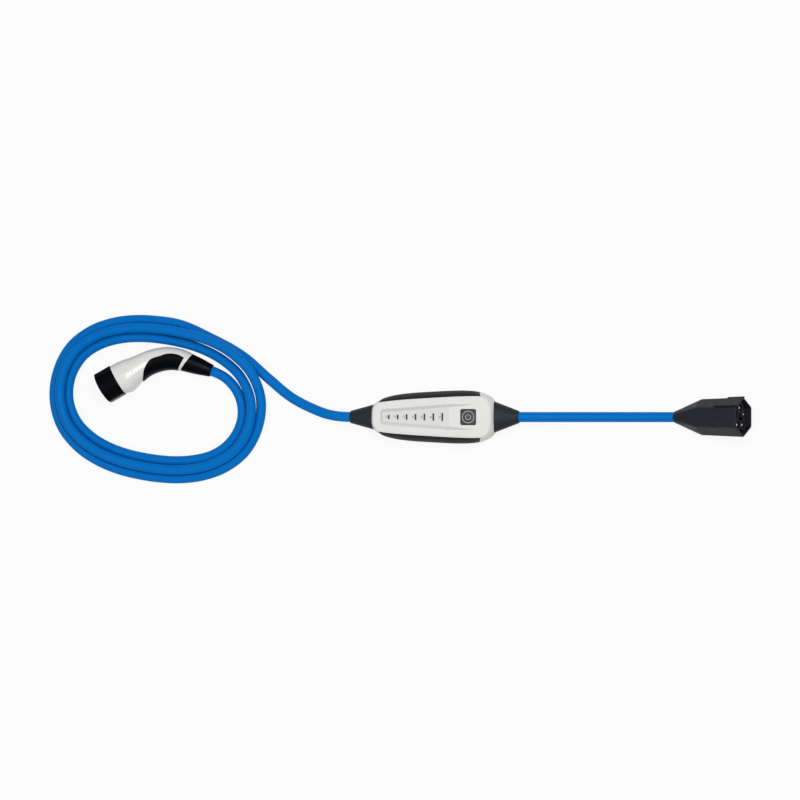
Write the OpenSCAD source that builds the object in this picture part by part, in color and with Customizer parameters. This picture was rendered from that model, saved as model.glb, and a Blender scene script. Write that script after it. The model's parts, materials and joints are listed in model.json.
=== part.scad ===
// Portable charging lead for an electric vehicle: a control box, a coiled vehicle cable with its
// vehicle connector, and a short supply cable with a five-pin plug. Millimetres, +Z up.
// The origin lies under the middle of the control box, and +X points to the supply plug.

/* [Control box housing] */
// Length of the housing without its boots
housing_l = 209; // [195:1:225]
// Width of the housing's oval at the vehicle end
housing_w_vehicle = 73; // [70:1:78]
// Width of the housing's oval at the supply end
housing_w_supply = 95; // [92:1:100]
// Height of the housing
housing_h = 54; // [53:0.5:58]
// Height of the cable axis, where the two shells part
split_z = 27; // [26:0.5:28.5]
// Wall of the two shells
housing_wall = 3; // [2.6:0.2:3.4]
// Width of the flat top at the vehicle end of the grips
top_w_vehicle = 41; // [38:1:44]
// Width of the flat top at the supply end of the grips
top_w_supply = 62; // [58:1:66]
// How far the flat top lies inside the outline at both ends
top_inset = 8; // [6:0.5:10]
// How far the flat bottom lies inside the outline
base_inset = 8; // [6:0.5:10]

/* [Side grips] */
// Thickness of the rubber side grips
grip_t = 2.4; // [1.8:0.2:2.8]
// Distance from the middle to the grips' vehicle end
grip_vehicle_x = 84; // [78:1:88]
// Distance from the middle to the grips' supply end
grip_supply_x = 77.5; // [72:0.5:82]
// How much longer a grip's upper edge is at each end
grip_slant = 8; // [4:0.5:10]

/* [Indicator panel] */
// Depth of the tapered recess in the top
recess_depth = 3.4; // [2.6:0.2:4]
// Distance from the middle to the recess's vehicle end
recess_x = 86; // [82:1:88]
// Distance from the supply end to the step where the button platform begins
platform_set_back = 74.5; // [70.5:0.5:78.5]
// Thickness of the indicator panel
panel_t = 1; // [0.8:0.1:1.4]
// Number of light guides
guide_count = 7; // [3:1:7]
// Distance between two light guides
guide_pitch = 15; // [12:0.5:15.5]
// Width of a light guide
guide_w = 2.6; // [2:0.1:3.2]
// Height of the shortest light guide
guide_h_min = 6.5; // [5:0.5:8]
// Height of the longest light guide
guide_h_max = 13; // [10:0.5:14]

/* [Push button] */
// Side of the square button
button_w = 26; // [22:0.5:28]
// Distance from the supply end to the button's middle
button_set_back = 42.5; // [40.5:0.5:46.5]
// Corner radius of the button
button_r = 3; // [2:0.5:4]
// Travel of the button
button_travel = 0.8; // [0.5:0.1:1]
// Gap round the button
button_gap = 0.35; // [0.3:0.05:0.5]

/* [Boots and cable] */
// Diameter of the cable
cable_d = 16.5; // [15.5:0.1:16.7]
// Distance from the middle to the mouth of each boot
boot_mouth_x = 142; // [136:1:150]
// Diameter of a boot at its mouth
boot_mouth_d = 21; // [20:0.5:23]
// Width of the vehicle boot where it meets the housing
vehicle_boot_w = 43; // [40:1:46]
// Width of the supply boot where it meets the housing
supply_boot_w = 51; // [47:1:54]
// Height of both boots where they meet the housing
boot_h = 36; // [34:1:40]
// Diameter of a boot's neck in the housing wall
neck_d = 30; // [28:0.5:32]

/* [Vehicle connector] */
// Length of the nose sleeve
nose_l = 30; // [26:1:34]
// Height of the nose in profile
nose_h = 52.4; // [51:0.2:54]
// Width of the nose
nose_w = 56; // [54:0.5:58]
// Wall of the nose sleeve
nose_wall = 2.6; // [2:0.1:3]
// Wall of the connector's shells
connector_wall = 2.6; // [2.2:0.1:3.2]
// Thickness of the soft grip pad
pad_t = 1.2; // [0.8:0.1:1.6]
// Bore of the power contacts
power_bore_d = 6.06; // [5.8:0.02:6.4]
// Bore of the signal contacts
signal_bore_d = 3.06; // [2.8:0.02:3.4]
// Length of the contacts
contact_l = 26; // [22:1:30]

/* [Supply plug] */
// Length of the plug along its axis
plug_l = 126; // [118:1:132]
// Length of the plug's tapered tail
plug_tail_l = 49; // [45:1:54]
// Width across the flats at the plug's face
plug_face_w = 57; // [55:0.5:60]
// Width across the flats where the tail ends
plug_root_w = 52; // [50:0.5:54]
// Wall of the plug's housing
plug_wall = 2.6; // [2.2:0.1:3]
// Radius of the circle that the pins stand on
pin_circle_r = 15.4; // [14.8:0.1:15.6]
// Diameter of a pin
pin_d = 6; // [5:0.1:6.6]
// Outer diameter of the insulating tube round a pin
tube_d = 16.6; // [16.4:0.1:16.8]
// Pitch of the plug, which lies on the root of its tail
plug_pitch = 17.5; // [14:0.5:18]

/* [Hidden] */
$fn = 48;
WHITE = [0.89, 0.89, 0.88];
BLACK = [0.16, 0.17, 0.19];
BLUE = [0.01, 0.44, 0.76];
STEEL = [0.75, 0.76, 0.78];
COPPER = [0.80, 0.50, 0.30];
GREEN = [0.10, 0.35, 0.20];

// Clearances
seat_gap = 0.2;
slide_gap = 0.3;
parting_gap = 0.2;
eps = 0.01;

// Housing outline
half_l = housing_l / 2;
platform_x = half_l - platform_set_back;
button_x = half_l - button_set_back;
oval_n = 3.5;
side_mid = (housing_w_vehicle + housing_w_supply) / 4;
side_slope = (housing_w_supply - housing_w_vehicle) / 2 / housing_l;
grip_step = 1;
top_crown = 0.6;
end_steps = 10;
side_steps = 9;
supply_turn = acos(pow(grip_supply_x / half_l, oval_n / 2));
vehicle_turn = 180 - acos(pow(grip_vehicle_x / half_l, oval_n / 2));
grip_top = 70;
grip_bottom = -44;
recess_floor_z = housing_h - recess_depth;
ceiling_t = 2.6;
ceiling_z = recess_floor_z - ceiling_t;
floor_z = housing_wall;

function power(v, p) = sign(v) * pow(abs(v), p);
function mix(a, b, u) = a + (b - a) * u;
function unit(v) = v / norm(v);

// Half width of the housing at x before its ends are rounded
function side_half(x) = side_mid + side_slope * x;

// Point of the widest outline at the angle t
function outline(t) =
    let (x = half_l * power(cos(t), 2 / oval_n))
    [x, side_half(x) * power(sin(t), 2 / oval_n)];

supply_corner = outline(supply_turn);
vehicle_corner = outline(vehicle_turn);

// Point of the flat top's outline that belongs to the angle t
function top_outline(t) =
    let (
        p = outline(t),
        x0 = -grip_vehicle_x - grip_slant,
        x1 = grip_supply_x + grip_slant,
        u = (p[0] + grip_vehicle_x) / (grip_vehicle_x + grip_supply_x),
        k1 = (half_l - top_inset - x1) / (half_l - grip_supply_x),
        k0 = (half_l - top_inset + x0) / (half_l - grip_vehicle_x)
    )
    u > 1 ? [x1 + (p[0] - grip_supply_x) * k1, p[1] * top_w_supply / 2 / supply_corner[1]] :
    u < 0 ? [x0 + (p[0] + grip_vehicle_x) * k0, p[1] * top_w_vehicle / 2 / vehicle_corner[1]] :
    [mix(x0, x1, u), sign(p[1]) * (mix(top_w_vehicle, top_w_supply, u) / 2 + 4 * top_crown * u * (1 - u))];

// Point of the flat bottom's outline that belongs to the angle t
function base_outline(t) =
    let (p = outline(t))
    [p[0] * (1 - base_inset / half_l), p[1] * (1 - base_inset / side_mid)];

// Point of the housing's skin: lift turns from -90 at the bottom through 0 at the split to 90 at the
// top, and the point lies depth inside the skin
function skin_point(t, lift, depth) =
    let (
        p = outline(t),
        q = lift >= 0 ? top_outline(t) : base_outline(t),
        rise = lift >= 0 ? housing_h - split_z : split_z,
        run = norm(p - q),
        out = (p - q) / run,
        n = unit([cos(lift) / run, sin(lift) / rise]),
        xy = mix(p, q, 1 - cos(lift)) - out * n[0] * depth
    )
    [xy[0], xy[1], split_z + rise * sin(lift) - n[1] * depth];

// Angles round the outline, each with a flag that says whether a grip covers it
contour = concat(
    [for (i = [0 : end_steps]) [-supply_turn + 2 * supply_turn * i / end_steps, 0]],
    [for (i = [0 : side_steps]) [mix(supply_turn + grip_step, vehicle_turn - grip_step, i / side_steps), 1]],
    [for (i = [0 : end_steps]) [vehicle_turn + 2 * (180 - vehicle_turn) * i / end_steps, 0]],
    [for (i = [0 : side_steps])
        [mix(360 - vehicle_turn + grip_step, 360 - supply_turn - grip_step, i / side_steps), 1]]
);

// Ring of the skin, sunk by the grip's thickness where a grip lies if sunk is 1
function skin_ring(lift, depth, sunk) =
    [for (c = contour) skin_point(c[0], lift, depth + c[1] * sunk * grip_t)];

// The same ring laid flat at the height z
function flat_ring(lift, depth, sunk, z) =
    [for (p = skin_ring(lift, depth, sunk)) [p[0], p[1], z]];

// Solid between a row of rings with the same number of points
module skin(rings, looped = false) {
    n = len(rings[0]);
    m = len(rings);
    last = looped ? m - 1 : m - 2;
    sides = [for (i = [0 : last]) for (j = [0 : n - 1])
        let (a = i * n, b = (i + 1) % m * n, k = (j + 1) % n)
        each [[a + j, b + j, b + k], [a + j, b + k, a + k]]];
    caps = looped ? [] : [[for (j = [0 : n - 1]) j], [for (j = [n - 1 : -1 : 0]) (m - 1) * n + j]];
    polyhedron([for (r = rings) each r], concat(sides, caps));
}

// Solid between an outer and an inner grid of points, closed along its four edges
module slab(outer, inner) {
    m = len(outer);
    n = len(outer[0]);
    function at(side, i, j) = (side * m + i) * n + j;
    function quad(a, b, c, d) = [[a, b, c], [a, c, d]];
    faces = concat(
        [for (i = [0 : m - 2]) for (j = [0 : n - 2])
            each quad(at(0, i, j), at(0, i + 1, j), at(0, i + 1, j + 1), at(0, i, j + 1))],
        [for (i = [0 : m - 2]) for (j = [0 : n - 2])
            each quad(at(1, i, j), at(1, i, j + 1), at(1, i + 1, j + 1), at(1, i + 1, j))],
        [for (i = [0 : m - 2]) each quad(at(0, i + 1, 0), at(0, i, 0), at(1, i, 0), at(1, i + 1, 0))],
        [for (i = [0 : m - 2])
            each quad(at(0, i, n - 1), at(0, i + 1, n - 1), at(1, i + 1, n - 1), at(1, i, n - 1))],
        [for (j = [0 : n - 2]) each quad(at(0, 0, j), at(0, 0, j + 1), at(1, 0, j + 1), at(1, 0, j))],
        [for (j = [0 : n - 2])
            each quad(at(0, m - 1, j + 1), at(0, m - 1, j), at(1, m - 1, j), at(1, m - 1, j + 1))]
    );
    polyhedron([for (g = [outer, inner]) for (r = g) each r], faces);
}

// Bar with round section from p to q
module rod(p, q, r) {
    v = q - p;
    translate(p)
        rotate([0, acos(v[2] / norm(v)), atan2(v[1], v[0])])
            cylinder(r = r, h = norm(v));
}

// Cylinder along +X
module bar_x(r, l) {
    rotate([0, 90, 0])
        cylinder(r = r, h = l);
}

// Square with round corners
module rounded_square(w, r) {
    square([w - 2 * r, w], center = true);
    square([w, w - 2 * r], center = true);
    for (x = [-1, 1], y = [-1, 1])
        translate([x, y] * (w / 2 - r))
            circle(r = r);
}

// Fasteners
screw_r = 1.9;
screw_head_r = 3.4;
screw_head_h = 3;
screw_sink = 1.5;
small_screw_r = 1.4;
small_head_r = 2.6;
small_head_h = 1.6;
housing_boss_r = 6;
cover_boss_r = 4.8;
boss_gap = 0.3;
clamp_gap = 0.2;
thread_l = 12;
board_thread_l = 8;
display_thread_l = 4;
housing_screw_spots = [
    [-half_l + 27, 17], [-half_l + 27, -17], [half_l - 25, 23], [half_l - 25, -23]
];

// Screw that points up, with its head's underside at the origin
module screw(r, head_r, head_h, l) {
    translate([0, 0, -head_h])
        cylinder(r = head_r, h = head_h);
    translate([0, 0, -eps])
        cylinder(r = r, h = l + eps);
}

// Main board and what stands on it
board_z = housing_h / 3;
board_t = 1.6;
board_top = board_z + board_t;
board_l = 132;
board_w = 48;
board_spots = [for (x = [-1, 1], y = [-1, 1]) [x * 58, y * 18]];
standoff_r = 3.6;
terminal_x = 48;
terminal_size = [12, 26, 11];
lead_z = board_top + 6;
lead_r = 1.8;
lead_pitch = 4.8;
lead_run = 6;
lead_reach = 4;
lead_gap = 0.5;

// Display board under the ceiling
display_drop = 5;
display_top = ceiling_z - display_drop;
display_t = 1.6;
display_l = 156;
display_w = 24;
display_spots = [[-62, 9], [-62, -9], [40, 9], [40, -9]];
post_r = 2.6;
led_h = 1.2;
led_w = 3;
led_gap = 0.1;
guide_first_x = -72;
switch_w = 8;
switch_h = 2;
button_flange = 2;
flange_t = 1.5;
button_rise = 0.4;
flange_top = ceiling_z - slide_gap;
plunger_r = 1.8;
plunger_top = flange_top - flange_t - button_travel - slide_gap;
panel_top = recess_floor_z + panel_t;

function guide_x(i) = guide_first_x + i * guide_pitch;
function guide_h(i) = mix(guide_h_min, guide_h_max, i / (guide_count - 1));

// Half width of the panel and of the recess round it at x
panel_x0 = -recess_x + 3;
panel_half_0 = 7.6;
panel_half_1 = 16.3;
recess_slope = 5;
recess_fade_x = platform_x + 44;

// Recess in the top, with sloped sides and an upright step at the button platform
module recess() {
    lid_z = housing_h + 1;
    flare = recess_slope * (1 + 1 / recess_depth);
    x0 = panel_x0 - seat_gap;
    low_0 = panel_half_0 + seat_gap;
    low_1 = panel_half_1 + seat_gap;
    high_0 = panel_half_0 + flare;
    high_1 = panel_half_1 + flare;
    function frame_at(x, half_0, half_1, z) =
        [[x, -half_0, z], [platform_x, -half_1, z], [platform_x, half_1, z], [x, half_0, z]];
    skin([frame_at(x0, low_0, low_1, recess_floor_z), frame_at(-recess_x, high_0, high_1, lid_z)]);
    for (side = [-1, 1])
        recess_groove(side, low_1, high_1, lid_z);
}

groove_lap = 2;
groove_edge = 0.5;
groove_floor_z = recess_floor_z + 0.3;
groove_tip_at = 0.7;
groove_tip_size = 0.04;

// Groove beside the button platform, which runs out on the top
module recess_groove(side, low, high, lid_z) {
    start = platform_x - groove_lap;
    y0 = low - groove_edge;
    y1 = high - groove_edge;
    ring = [[start, y0, groove_floor_z], [start, y1, lid_z], [start, y0, lid_z]];
    tip = [recess_fade_x, mix(low, high, groove_tip_at), lid_z];
    end = [for (p = ring) mix(tip, [tip[0], p[1], p[2]], groove_tip_size)];
    mirror([0, side < 0 ? 1 : 0, 0])
        skin([ring, end]);
}

neck_hole_l = 20;
neck_hole_over = 5;

// Holes for the necks of the two boots
module neck_holes() {
    for (x = [-half_l - neck_hole_over, half_l + neck_hole_over - neck_hole_l])
        translate([x, 0, split_z])
            bar_x(neck_d / 2 + seat_gap, neck_hole_l);
}

seal_edge = 0.8;
seal_w = 1.3;
groove_depth = 1.4;
base_rim = split_z - parting_gap / 2;
cover_rim = split_z + parting_gap / 2;

floor_lift = -60;
ceiling_lift = 52;
plate_depth = housing_wall + grip_t;
plate_bite = 0.45;
plate_lap = 0.4;
plate_t = 0.8;

// Flat plate between the walls, which it bites into all round
module plate(lift, z, t) {
    translate([0, 0, z])
        linear_extrude(height = t)
            polygon([for (p = skin_ring(lift, plate_depth - plate_bite, 0)) [p[0], p[1]]]);
}

module base_shell() {
    color(WHITE)
        difference() {
            union() {
                skin([
                    skin_ring(-90, 0, 0), skin_ring(-66, 0, 0), skin_ring(grip_bottom - 2, 0, 0),
                    skin_ring(grip_bottom, 0, 1), skin_ring(-28, 0, 1), skin_ring(-12, 0, 1),
                    flat_ring(0, 0, 1, base_rim),
                    flat_ring(0, seal_edge, 1, base_rim),
                    flat_ring(0, seal_edge, 1, base_rim - groove_depth),
                    flat_ring(0, seal_edge + seal_w, 1, base_rim - groove_depth),
                    flat_ring(0, seal_edge + seal_w, 1, base_rim),
                    flat_ring(0, housing_wall, 1, base_rim),
                    skin_ring(-12, housing_wall, 1), skin_ring(-34, housing_wall, 1),
                    flat_ring(floor_lift, plate_depth, 0, floor_z - plate_lap)
                ]);
                plate(floor_lift, floor_z - plate_t, plate_t);
                for (p = board_spots)
                    translate([p[0], p[1], floor_z - eps])
                        cylinder(r = standoff_r, h = board_z - floor_z + eps);
                for (p = housing_screw_spots)
                    translate([p[0], p[1], floor_z - eps])
                        cylinder(r = housing_boss_r, h = split_z - boss_gap - floor_z);
                clamp_seats();
            }
            for (p = board_spots)
                translate([p[0], p[1], board_z - board_thread_l - 1])
                    cylinder(r = small_screw_r + seat_gap, h = board_z);
            for (p = housing_screw_spots)
                translate([p[0], p[1], -1]) {
                    cylinder(r = screw_r + seat_gap, h = housing_h);
                    cylinder(r = screw_head_r + slide_gap, h = 1 + screw_sink + screw_head_h);
                }
            neck_holes();
        }
}

module top_cover() {
    color(WHITE)
        difference() {
            union() {
                skin([
                    flat_ring(ceiling_lift, plate_depth, 0, ceiling_z + plate_lap),
                    skin_ring(36, housing_wall, 1), skin_ring(18, housing_wall, 1),
                    flat_ring(0, housing_wall, 1, cover_rim),
                    flat_ring(0, 0, 1, cover_rim),
                    skin_ring(15, 0, 1), skin_ring(30, 0, 1), skin_ring(45, 0, 1),
                    skin_ring(58, 0, 1), skin_ring(grip_top, 0, 1), skin_ring(grip_top + 2, 0, 0),
                    skin_ring(81, 0, 0), flat_ring(90, 0, 0, housing_h)
                ]);
                plate(ceiling_lift, ceiling_z, plate_t);
                for (p = display_spots)
                    translate([p[0], p[1], display_top])
                        cylinder(r = post_r, h = ceiling_z - display_top + eps);
                for (p = housing_screw_spots)
                    translate([p[0], p[1], split_z + boss_gap])
                        cylinder(r = cover_boss_r, h = ceiling_z - split_z - boss_gap + eps);
            }
            recess();
            translate([button_x, 0, ceiling_z - 1])
                linear_extrude(height = housing_h)
                    rounded_square(button_w + 2 * button_gap, button_r + button_gap);
            for (i = [0 : guide_count - 1])
                guide(i, seat_gap, ceiling_z - 1, housing_h);
            for (p = display_spots)
                translate([p[0], p[1], display_top - 1])
                    cylinder(r = small_screw_r + seat_gap, h = display_thread_l + 2);
            for (p = housing_screw_spots)
                translate([p[0], p[1], 0])
                    cylinder(r = screw_r + seat_gap, h = split_z + thread_l + 1);
            neck_holes();
        }
}

// Upright light guide, grown by gap on its four sides, between two heights
module guide(i, gap, z0, z1) {
    size = [guide_w + 2 * gap, guide_h(i) + 2 * gap, z1 - z0];
    translate([guide_x(i) - size[0] / 2, -size[1] / 2, z0])
        cube(size);
}

module housing_seal() {
    edge = seal_edge + seat_gap;
    inner = seal_edge + seal_w - seat_gap;
    low = base_rim - groove_depth + eps;
    color(BLACK)
        difference() {
            skin([
                flat_ring(0, edge, 1, low), flat_ring(0, edge, 1, cover_rim - eps),
                flat_ring(0, inner, 1, cover_rim - eps), flat_ring(0, inner, 1, low)
            ], looped = true);
            neck_holes();
        }
}

// Rubber grip that fills the sunk side of both shells, on the +Y or the -Y side
module side_grip(side) {
    turns = [for (c = contour) if (c[1] == 1 && (c[0] < 180) == (side > 0)) c[0]];
    m = len(turns) - 1;
    trim = grip_step / 2;
    cols = [for (j = [0 : m]) j == 0 ? turns[0] + trim : j == m ? turns[m] - trim : turns[j]];
    lifts = [grip_bottom + 1.5, -28, -12, 0, 15, 30, 45, 58, grip_top - 1.5];
    color(BLACK)
        slab(
            [for (l = lifts) [for (t = cols) skin_point(t, l, 0)]],
            [for (l = lifts) [for (t = cols) skin_point(t, l, grip_t - seat_gap)]]
        );
}

module rear_grip() {
    side_grip(1);
}

module front_grip() {
    side_grip(-1);
}

module indicator_panel() {
    color(WHITE)
        difference() {
            translate([0, 0, recess_floor_z])
                linear_extrude(height = panel_t)
                    polygon([
                        [panel_x0, -panel_half_0], [platform_x - seat_gap, -panel_half_1],
                        [platform_x - seat_gap, panel_half_1], [panel_x0, panel_half_0]
                    ]);
            for (i = [0 : guide_count - 1])
                guide(i, seat_gap, recess_floor_z - 1, housing_h);
        }
}

module light_guides() {
    color(BLACK)
        for (i = [0 : guide_count - 1])
            guide(i, 0, display_top + led_h + led_gap, panel_top);
}

module indicator_leds() {
    color(STEEL)
        for (i = [0 : guide_count - 1])
            translate([guide_x(i) - led_w / 2, -led_w / 2, display_top])
                cube([led_w, led_w, led_h]);
}

module push_button() {
    low = flange_top - flange_t;
    color(BLACK)
        translate([button_x, 0, 0]) {
            translate([0, 0, low])
                linear_extrude(height = housing_h + button_rise - low)
                    rounded_square(button_w, button_r);
            translate([0, 0, low])
                linear_extrude(height = flange_t)
                    rounded_square(button_w + 2 * button_flange, button_r);
        }
}

module button_switch() {
    color(STEEL)
        translate([button_x, 0, display_top]) {
            translate([-switch_w / 2, -switch_w / 2, 0])
                cube([switch_w, switch_w, switch_h]);
            cylinder(r = plunger_r, h = plunger_top - display_top);
        }
}

module display_board() {
    color(GREEN)
        difference() {
            translate([-display_l / 2, -display_w / 2, display_top - display_t])
                cube([display_l, display_w, display_t]);
            for (p = display_spots)
                translate([p[0], p[1], 0])
                    cylinder(r = small_screw_r + seat_gap, h = housing_h);
        }
}

module display_screws() {
    color(STEEL)
        for (p = display_spots)
            translate([p[0], p[1], display_top - display_t])
                screw(small_screw_r, small_head_r, small_head_h, display_t + display_thread_l);
}

module main_board() {
    color(GREEN)
        difference() {
            translate([-board_l / 2, -board_w / 2, board_z])
                cube([board_l, board_w, board_t]);
            for (p = board_spots)
                translate([p[0], p[1], 0])
                    cylinder(r = small_screw_r + seat_gap, h = housing_h);
        }
}

module board_screws() {
    color(STEEL)
        for (p = board_spots)
            translate([p[0], p[1], board_top])
                rotate([180, 0, 0])
                    screw(small_screw_r, small_head_r, small_head_h, board_t + board_thread_l);
}

// Where a lead lies across a terminal block
function lead_y(i) = (i - 2) * lead_pitch;

module terminal_blocks() {
    color(GREEN)
        for (side = [-1, 1])
            difference() {
                translate([side * terminal_x - terminal_size[0] / 2, -terminal_size[1] / 2, board_top])
                    cube(terminal_size);
                for (i = [0 : 4])
                    translate([side * terminal_x - terminal_size[0], lead_y(i), lead_z])
                        bar_x(lead_r + clamp_gap, 2 * terminal_size[0]);
            }
}

relay_size = [16, 20, 15];
relay_spots = [for (x = [13, 31], y = [-11, 11]) [x, y]];

module relays() {
    color(BLACK)
        for (p = relay_spots)
            translate([p[0] - relay_size[0] / 2, p[1] - relay_size[1] / 2, board_top])
                cube(relay_size);
}

capacitor_x = -8;
capacitor_rows = [-17, -6, 6, 17];
capacitor_r = 4.6;
capacitor_h = 16;

module capacitors() {
    color(BLACK)
        for (y = capacitor_rows)
            translate([capacitor_x, y, board_top])
                cylinder(r = capacitor_r, h = capacitor_h);
}

supply_module_spot = [-36, 12];
supply_module_size = [20, 10, 14];

module supply_module() {
    color(BLACK)
        translate([supply_module_spot[0], supply_module_spot[1], board_top])
            cube(supply_module_size);
}

sensor_r = 9;
sensor_hole_r = 6;
sensor_x = -32;
sensor_w = 8;
sensor_foot = 2;
sensor_z = board_top + sensor_r;

module current_sensor() {
    color(BLACK)
        difference() {
            union() {
                translate([sensor_x, 0, sensor_z])
                    bar_x(sensor_r, sensor_w);
                translate([sensor_x, -sensor_r, board_top])
                    cube([sensor_w, 2 * sensor_r, sensor_foot]);
            }
            translate([sensor_x - 1, 0, sensor_z])
                bar_x(sensor_hole_r, sensor_w + 2);
        }
}

load_r = 1.2;
load_gap = 0.5;
load_spots = [for (y = [-2.2, 2.2], z = [-3, 0.4]) [y, z]];

// Four bare conductors from the vehicle terminals through the current sensor towards the relays
module load_conductors() {
    x0 = -terminal_x + terminal_size[0] / 2 + load_gap;
    x1 = capacitor_x - capacitor_r - load_gap;
    color(COPPER)
        for (p = load_spots)
            translate([x0, p[0], sensor_z + p[1]])
                bar_x(load_r, x1 - x0);
}

cable_r = cable_d / 2;
cable_end_x = half_l - 18;
clamp_w = 7;
clamp_x = cable_end_x + 1;
clamp_t = 2.4;
core_r = 4.4;

// Five points round a cable's core
function core_spot(i) = core_r * [cos(90 + 72 * i), sin(90 + 72 * i)];

// Place in the terminal block's row for each lead of the core
lead_order = [2, 0, 1, 3, 4];
// Where a lead's bend begins and ends, as a share of the way to its knee
bend_share = 0.85;
lead_sides = 12;

// Leads from a cable's end to the terminal block on the same side
module box_leads(side) {
    color(COPPER)
        for (i = [0 : 4]) {
            spot = core_spot(i);
            row = lead_order[i];
            start = [side * (cable_end_x - lead_gap), spot[0], split_z + spot[1]];
            knee = [side * (terminal_x + terminal_size[0] / 2 + lead_run), lead_y(row), lead_z];
            end = [side * (terminal_x - lead_reach), lead_y(row), lead_z];
            sweep(
                [start, mix(start, knee, bend_share), mix(knee, end, 1 - bend_share), end],
                lead_r, lead_sides
            );
        }
}

module vehicle_leads() {
    box_leads(-1);
}

module supply_leads() {
    box_leads(1);
}

// Pillars that carry the cable clamps
module clamp_seats() {
    for (side = [-1, 1])
        translate([side * (clamp_x + clamp_w / 2) - clamp_w / 2, -cable_r - clamp_t, floor_z - eps])
            cube([clamp_w, 2 * (cable_r + clamp_t), split_z - cable_r - clamp_t - floor_z]);
}

// Split rings that hold the two cables inside the housing
module cable_clamps() {
    color(STEEL)
        for (side = [-1, 1])
            translate([side * (clamp_x + clamp_w / 2) - clamp_w / 2, 0, split_z])
                difference() {
                    bar_x(cable_r + clamp_t, clamp_w);
                    translate([-1, 0, 0])
                        bar_x(cable_r + clamp_gap, clamp_w + 2);
                }
}

module housing_screws() {
    color(STEEL)
        for (p = housing_screw_spots)
            translate([p[0], p[1], screw_sink + screw_head_h])
                screw(screw_r, screw_head_r, screw_head_h, split_z + thread_l - screw_sink - screw_head_h);
}

// Where the housing's end lies at the height z beside the cable axis
function end_x(y, z, corner_x, corner_y, top_w) =
    let (
        up = z >= split_z,
        v = min(1, abs(z - split_z) / (up ? housing_h - split_z : split_z)),
        h = 1 - sqrt(1 - v * v),
        shrink = up ? 1 - top_w / 2 / corner_y : base_inset / side_mid,
        b = side_half(sign(corner_x) * half_l),
        x = half_l * pow(1 - pow(abs(y) / (1 - h * shrink) / b, oval_n), 1 / oval_n),
        k = (half_l - top_inset - abs(corner_x) - grip_slant) / (half_l - abs(corner_x)),
        back = up ? (x - abs(corner_x)) * (1 - k) - grip_slant : x * base_inset / half_l
    )
    x - h * back;

boot_steps = 32;
boot_n = 2.4;
boot_lip = 1.2;
boot_seat = 0.6;
flange_w = 2.5;
flange_set_back = 3.6;
flange_x = half_l - housing_wall - flange_set_back;

// Ring round the cable axis, rounder the nearer n is to 2
function boot_ring(x, half_w, half_h, n) =
    [for (i = [0 : boot_steps - 1])
        let (a = 360 * i / boot_steps)
        [x, half_w * power(cos(a), 2 / n), split_z + half_h * power(sin(a), 2 / n)]];

// Rubber boot on the +X side: it swells from the cable to the housing's end and grips the wall there
module boot(half_w, corner_x, corner_y, top_w) {
    function seated(r) =
        [for (p = r) [end_x(p[1], p[2], corner_x, corner_y, top_w) + boot_seat, p[1], p[2]]];
    half_h = boot_h / 2;
    mouth_r = boot_mouth_d / 2;
    bore_r = cable_r + seat_gap;
    neck_r = neck_d / 2;
    mid_x = mix(half_l, boot_mouth_x, 0.5);
    skin([
        boot_ring(flange_x - flange_w, neck_r + flange_w, neck_r + flange_w, 2),
        boot_ring(flange_x, neck_r + flange_w, neck_r + flange_w, 2),
        boot_ring(flange_x, neck_r, neck_r, 2),
        seated(boot_ring(0, neck_r, neck_r, 2)),
        seated(boot_ring(0, mix(neck_r, half_w, 0.5), mix(neck_r, half_h, 0.5), mix(2, boot_n, 0.5))),
        seated(boot_ring(0, half_w, half_h, boot_n)),
        boot_ring(mid_x, mix(half_w, mouth_r, 0.5), mix(half_h, mouth_r, 0.5), mix(2, boot_n, 0.25)),
        boot_ring(boot_mouth_x - boot_lip, mouth_r, mouth_r, 2),
        boot_ring(boot_mouth_x, mouth_r - boot_lip, mouth_r - boot_lip, 2),
        boot_ring(boot_mouth_x, bore_r, bore_r, 2),
        boot_ring(flange_x - flange_w, bore_r, bore_r, 2)
    ], looped = true);
}

module supply_boot() {
    color(BLACK)
        boot(supply_boot_w / 2, supply_corner[0], supply_corner[1], top_w_supply);
}

module vehicle_boot() {
    color(BLACK)
        rotate([0, 0, 180])
            boot(vehicle_boot_w / 2, vehicle_corner[0], vehicle_corner[1], top_w_vehicle);
}

// Vehicle connector: it lies on its side, tilted until its shoulder and its handle both touch the floor.
// Its own frame has x from the nose to the cable, y to its top and z to its side.
connector_spot = [-537.8, 61.7, 28.9];
connector_turn = [0, 6, 29.8];
handle_n = 2.3;
shell_steps = 14;
shell_edge = 0.2;
boot_axis = -48.4;

// Stations along the handle: x, y, half height, half width, and the direction of the section's top
shell_stations = [
    [0, 0, nose_h / 2, nose_w / 2 - 0.4, 90],
    [12, -1.5, nose_h / 2 + 1.1, nose_w / 2 - 1, 88],
    [38, -1, 22.3, 23.5, 80],
    [60, -1.5, 20.8, 20, 66],
    [78, -5.7, 20.2, 18.8, 55],
    [94, -13, 19, 18, 47],
    [108, -24, 17.8, 17.2, 35],
    [114.7, -32.4, 17.4, 16.6, 23]
];
handle_end = shell_stations[7];
boot_end = [143, -64.2, 10.4, 10.4, 90 + boot_axis];
boot_stations = [
    [handle_end[0] + 0.2, handle_end[1] - 0.3, handle_end[2] - 0.2, handle_end[3] - 0.2, handle_end[4]],
    [129, -48.5, 14.2, 13.8, 32],
    boot_end
];

// Point of a handle section at the angle a, which is 0 at its top and 90 at its +Z side, raised by h
function handle_point(s, a, h) =
    let (up = (s[2] + h) * power(cos(a), 2 / handle_n))
    [s[0] + up * cos(s[4]), s[1] + up * sin(s[4]), (s[3] + h) * power(sin(a), 2 / handle_n)];

module at_connector() {
    translate(connector_spot)
        rotate(connector_turn)
            children();
}

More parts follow.
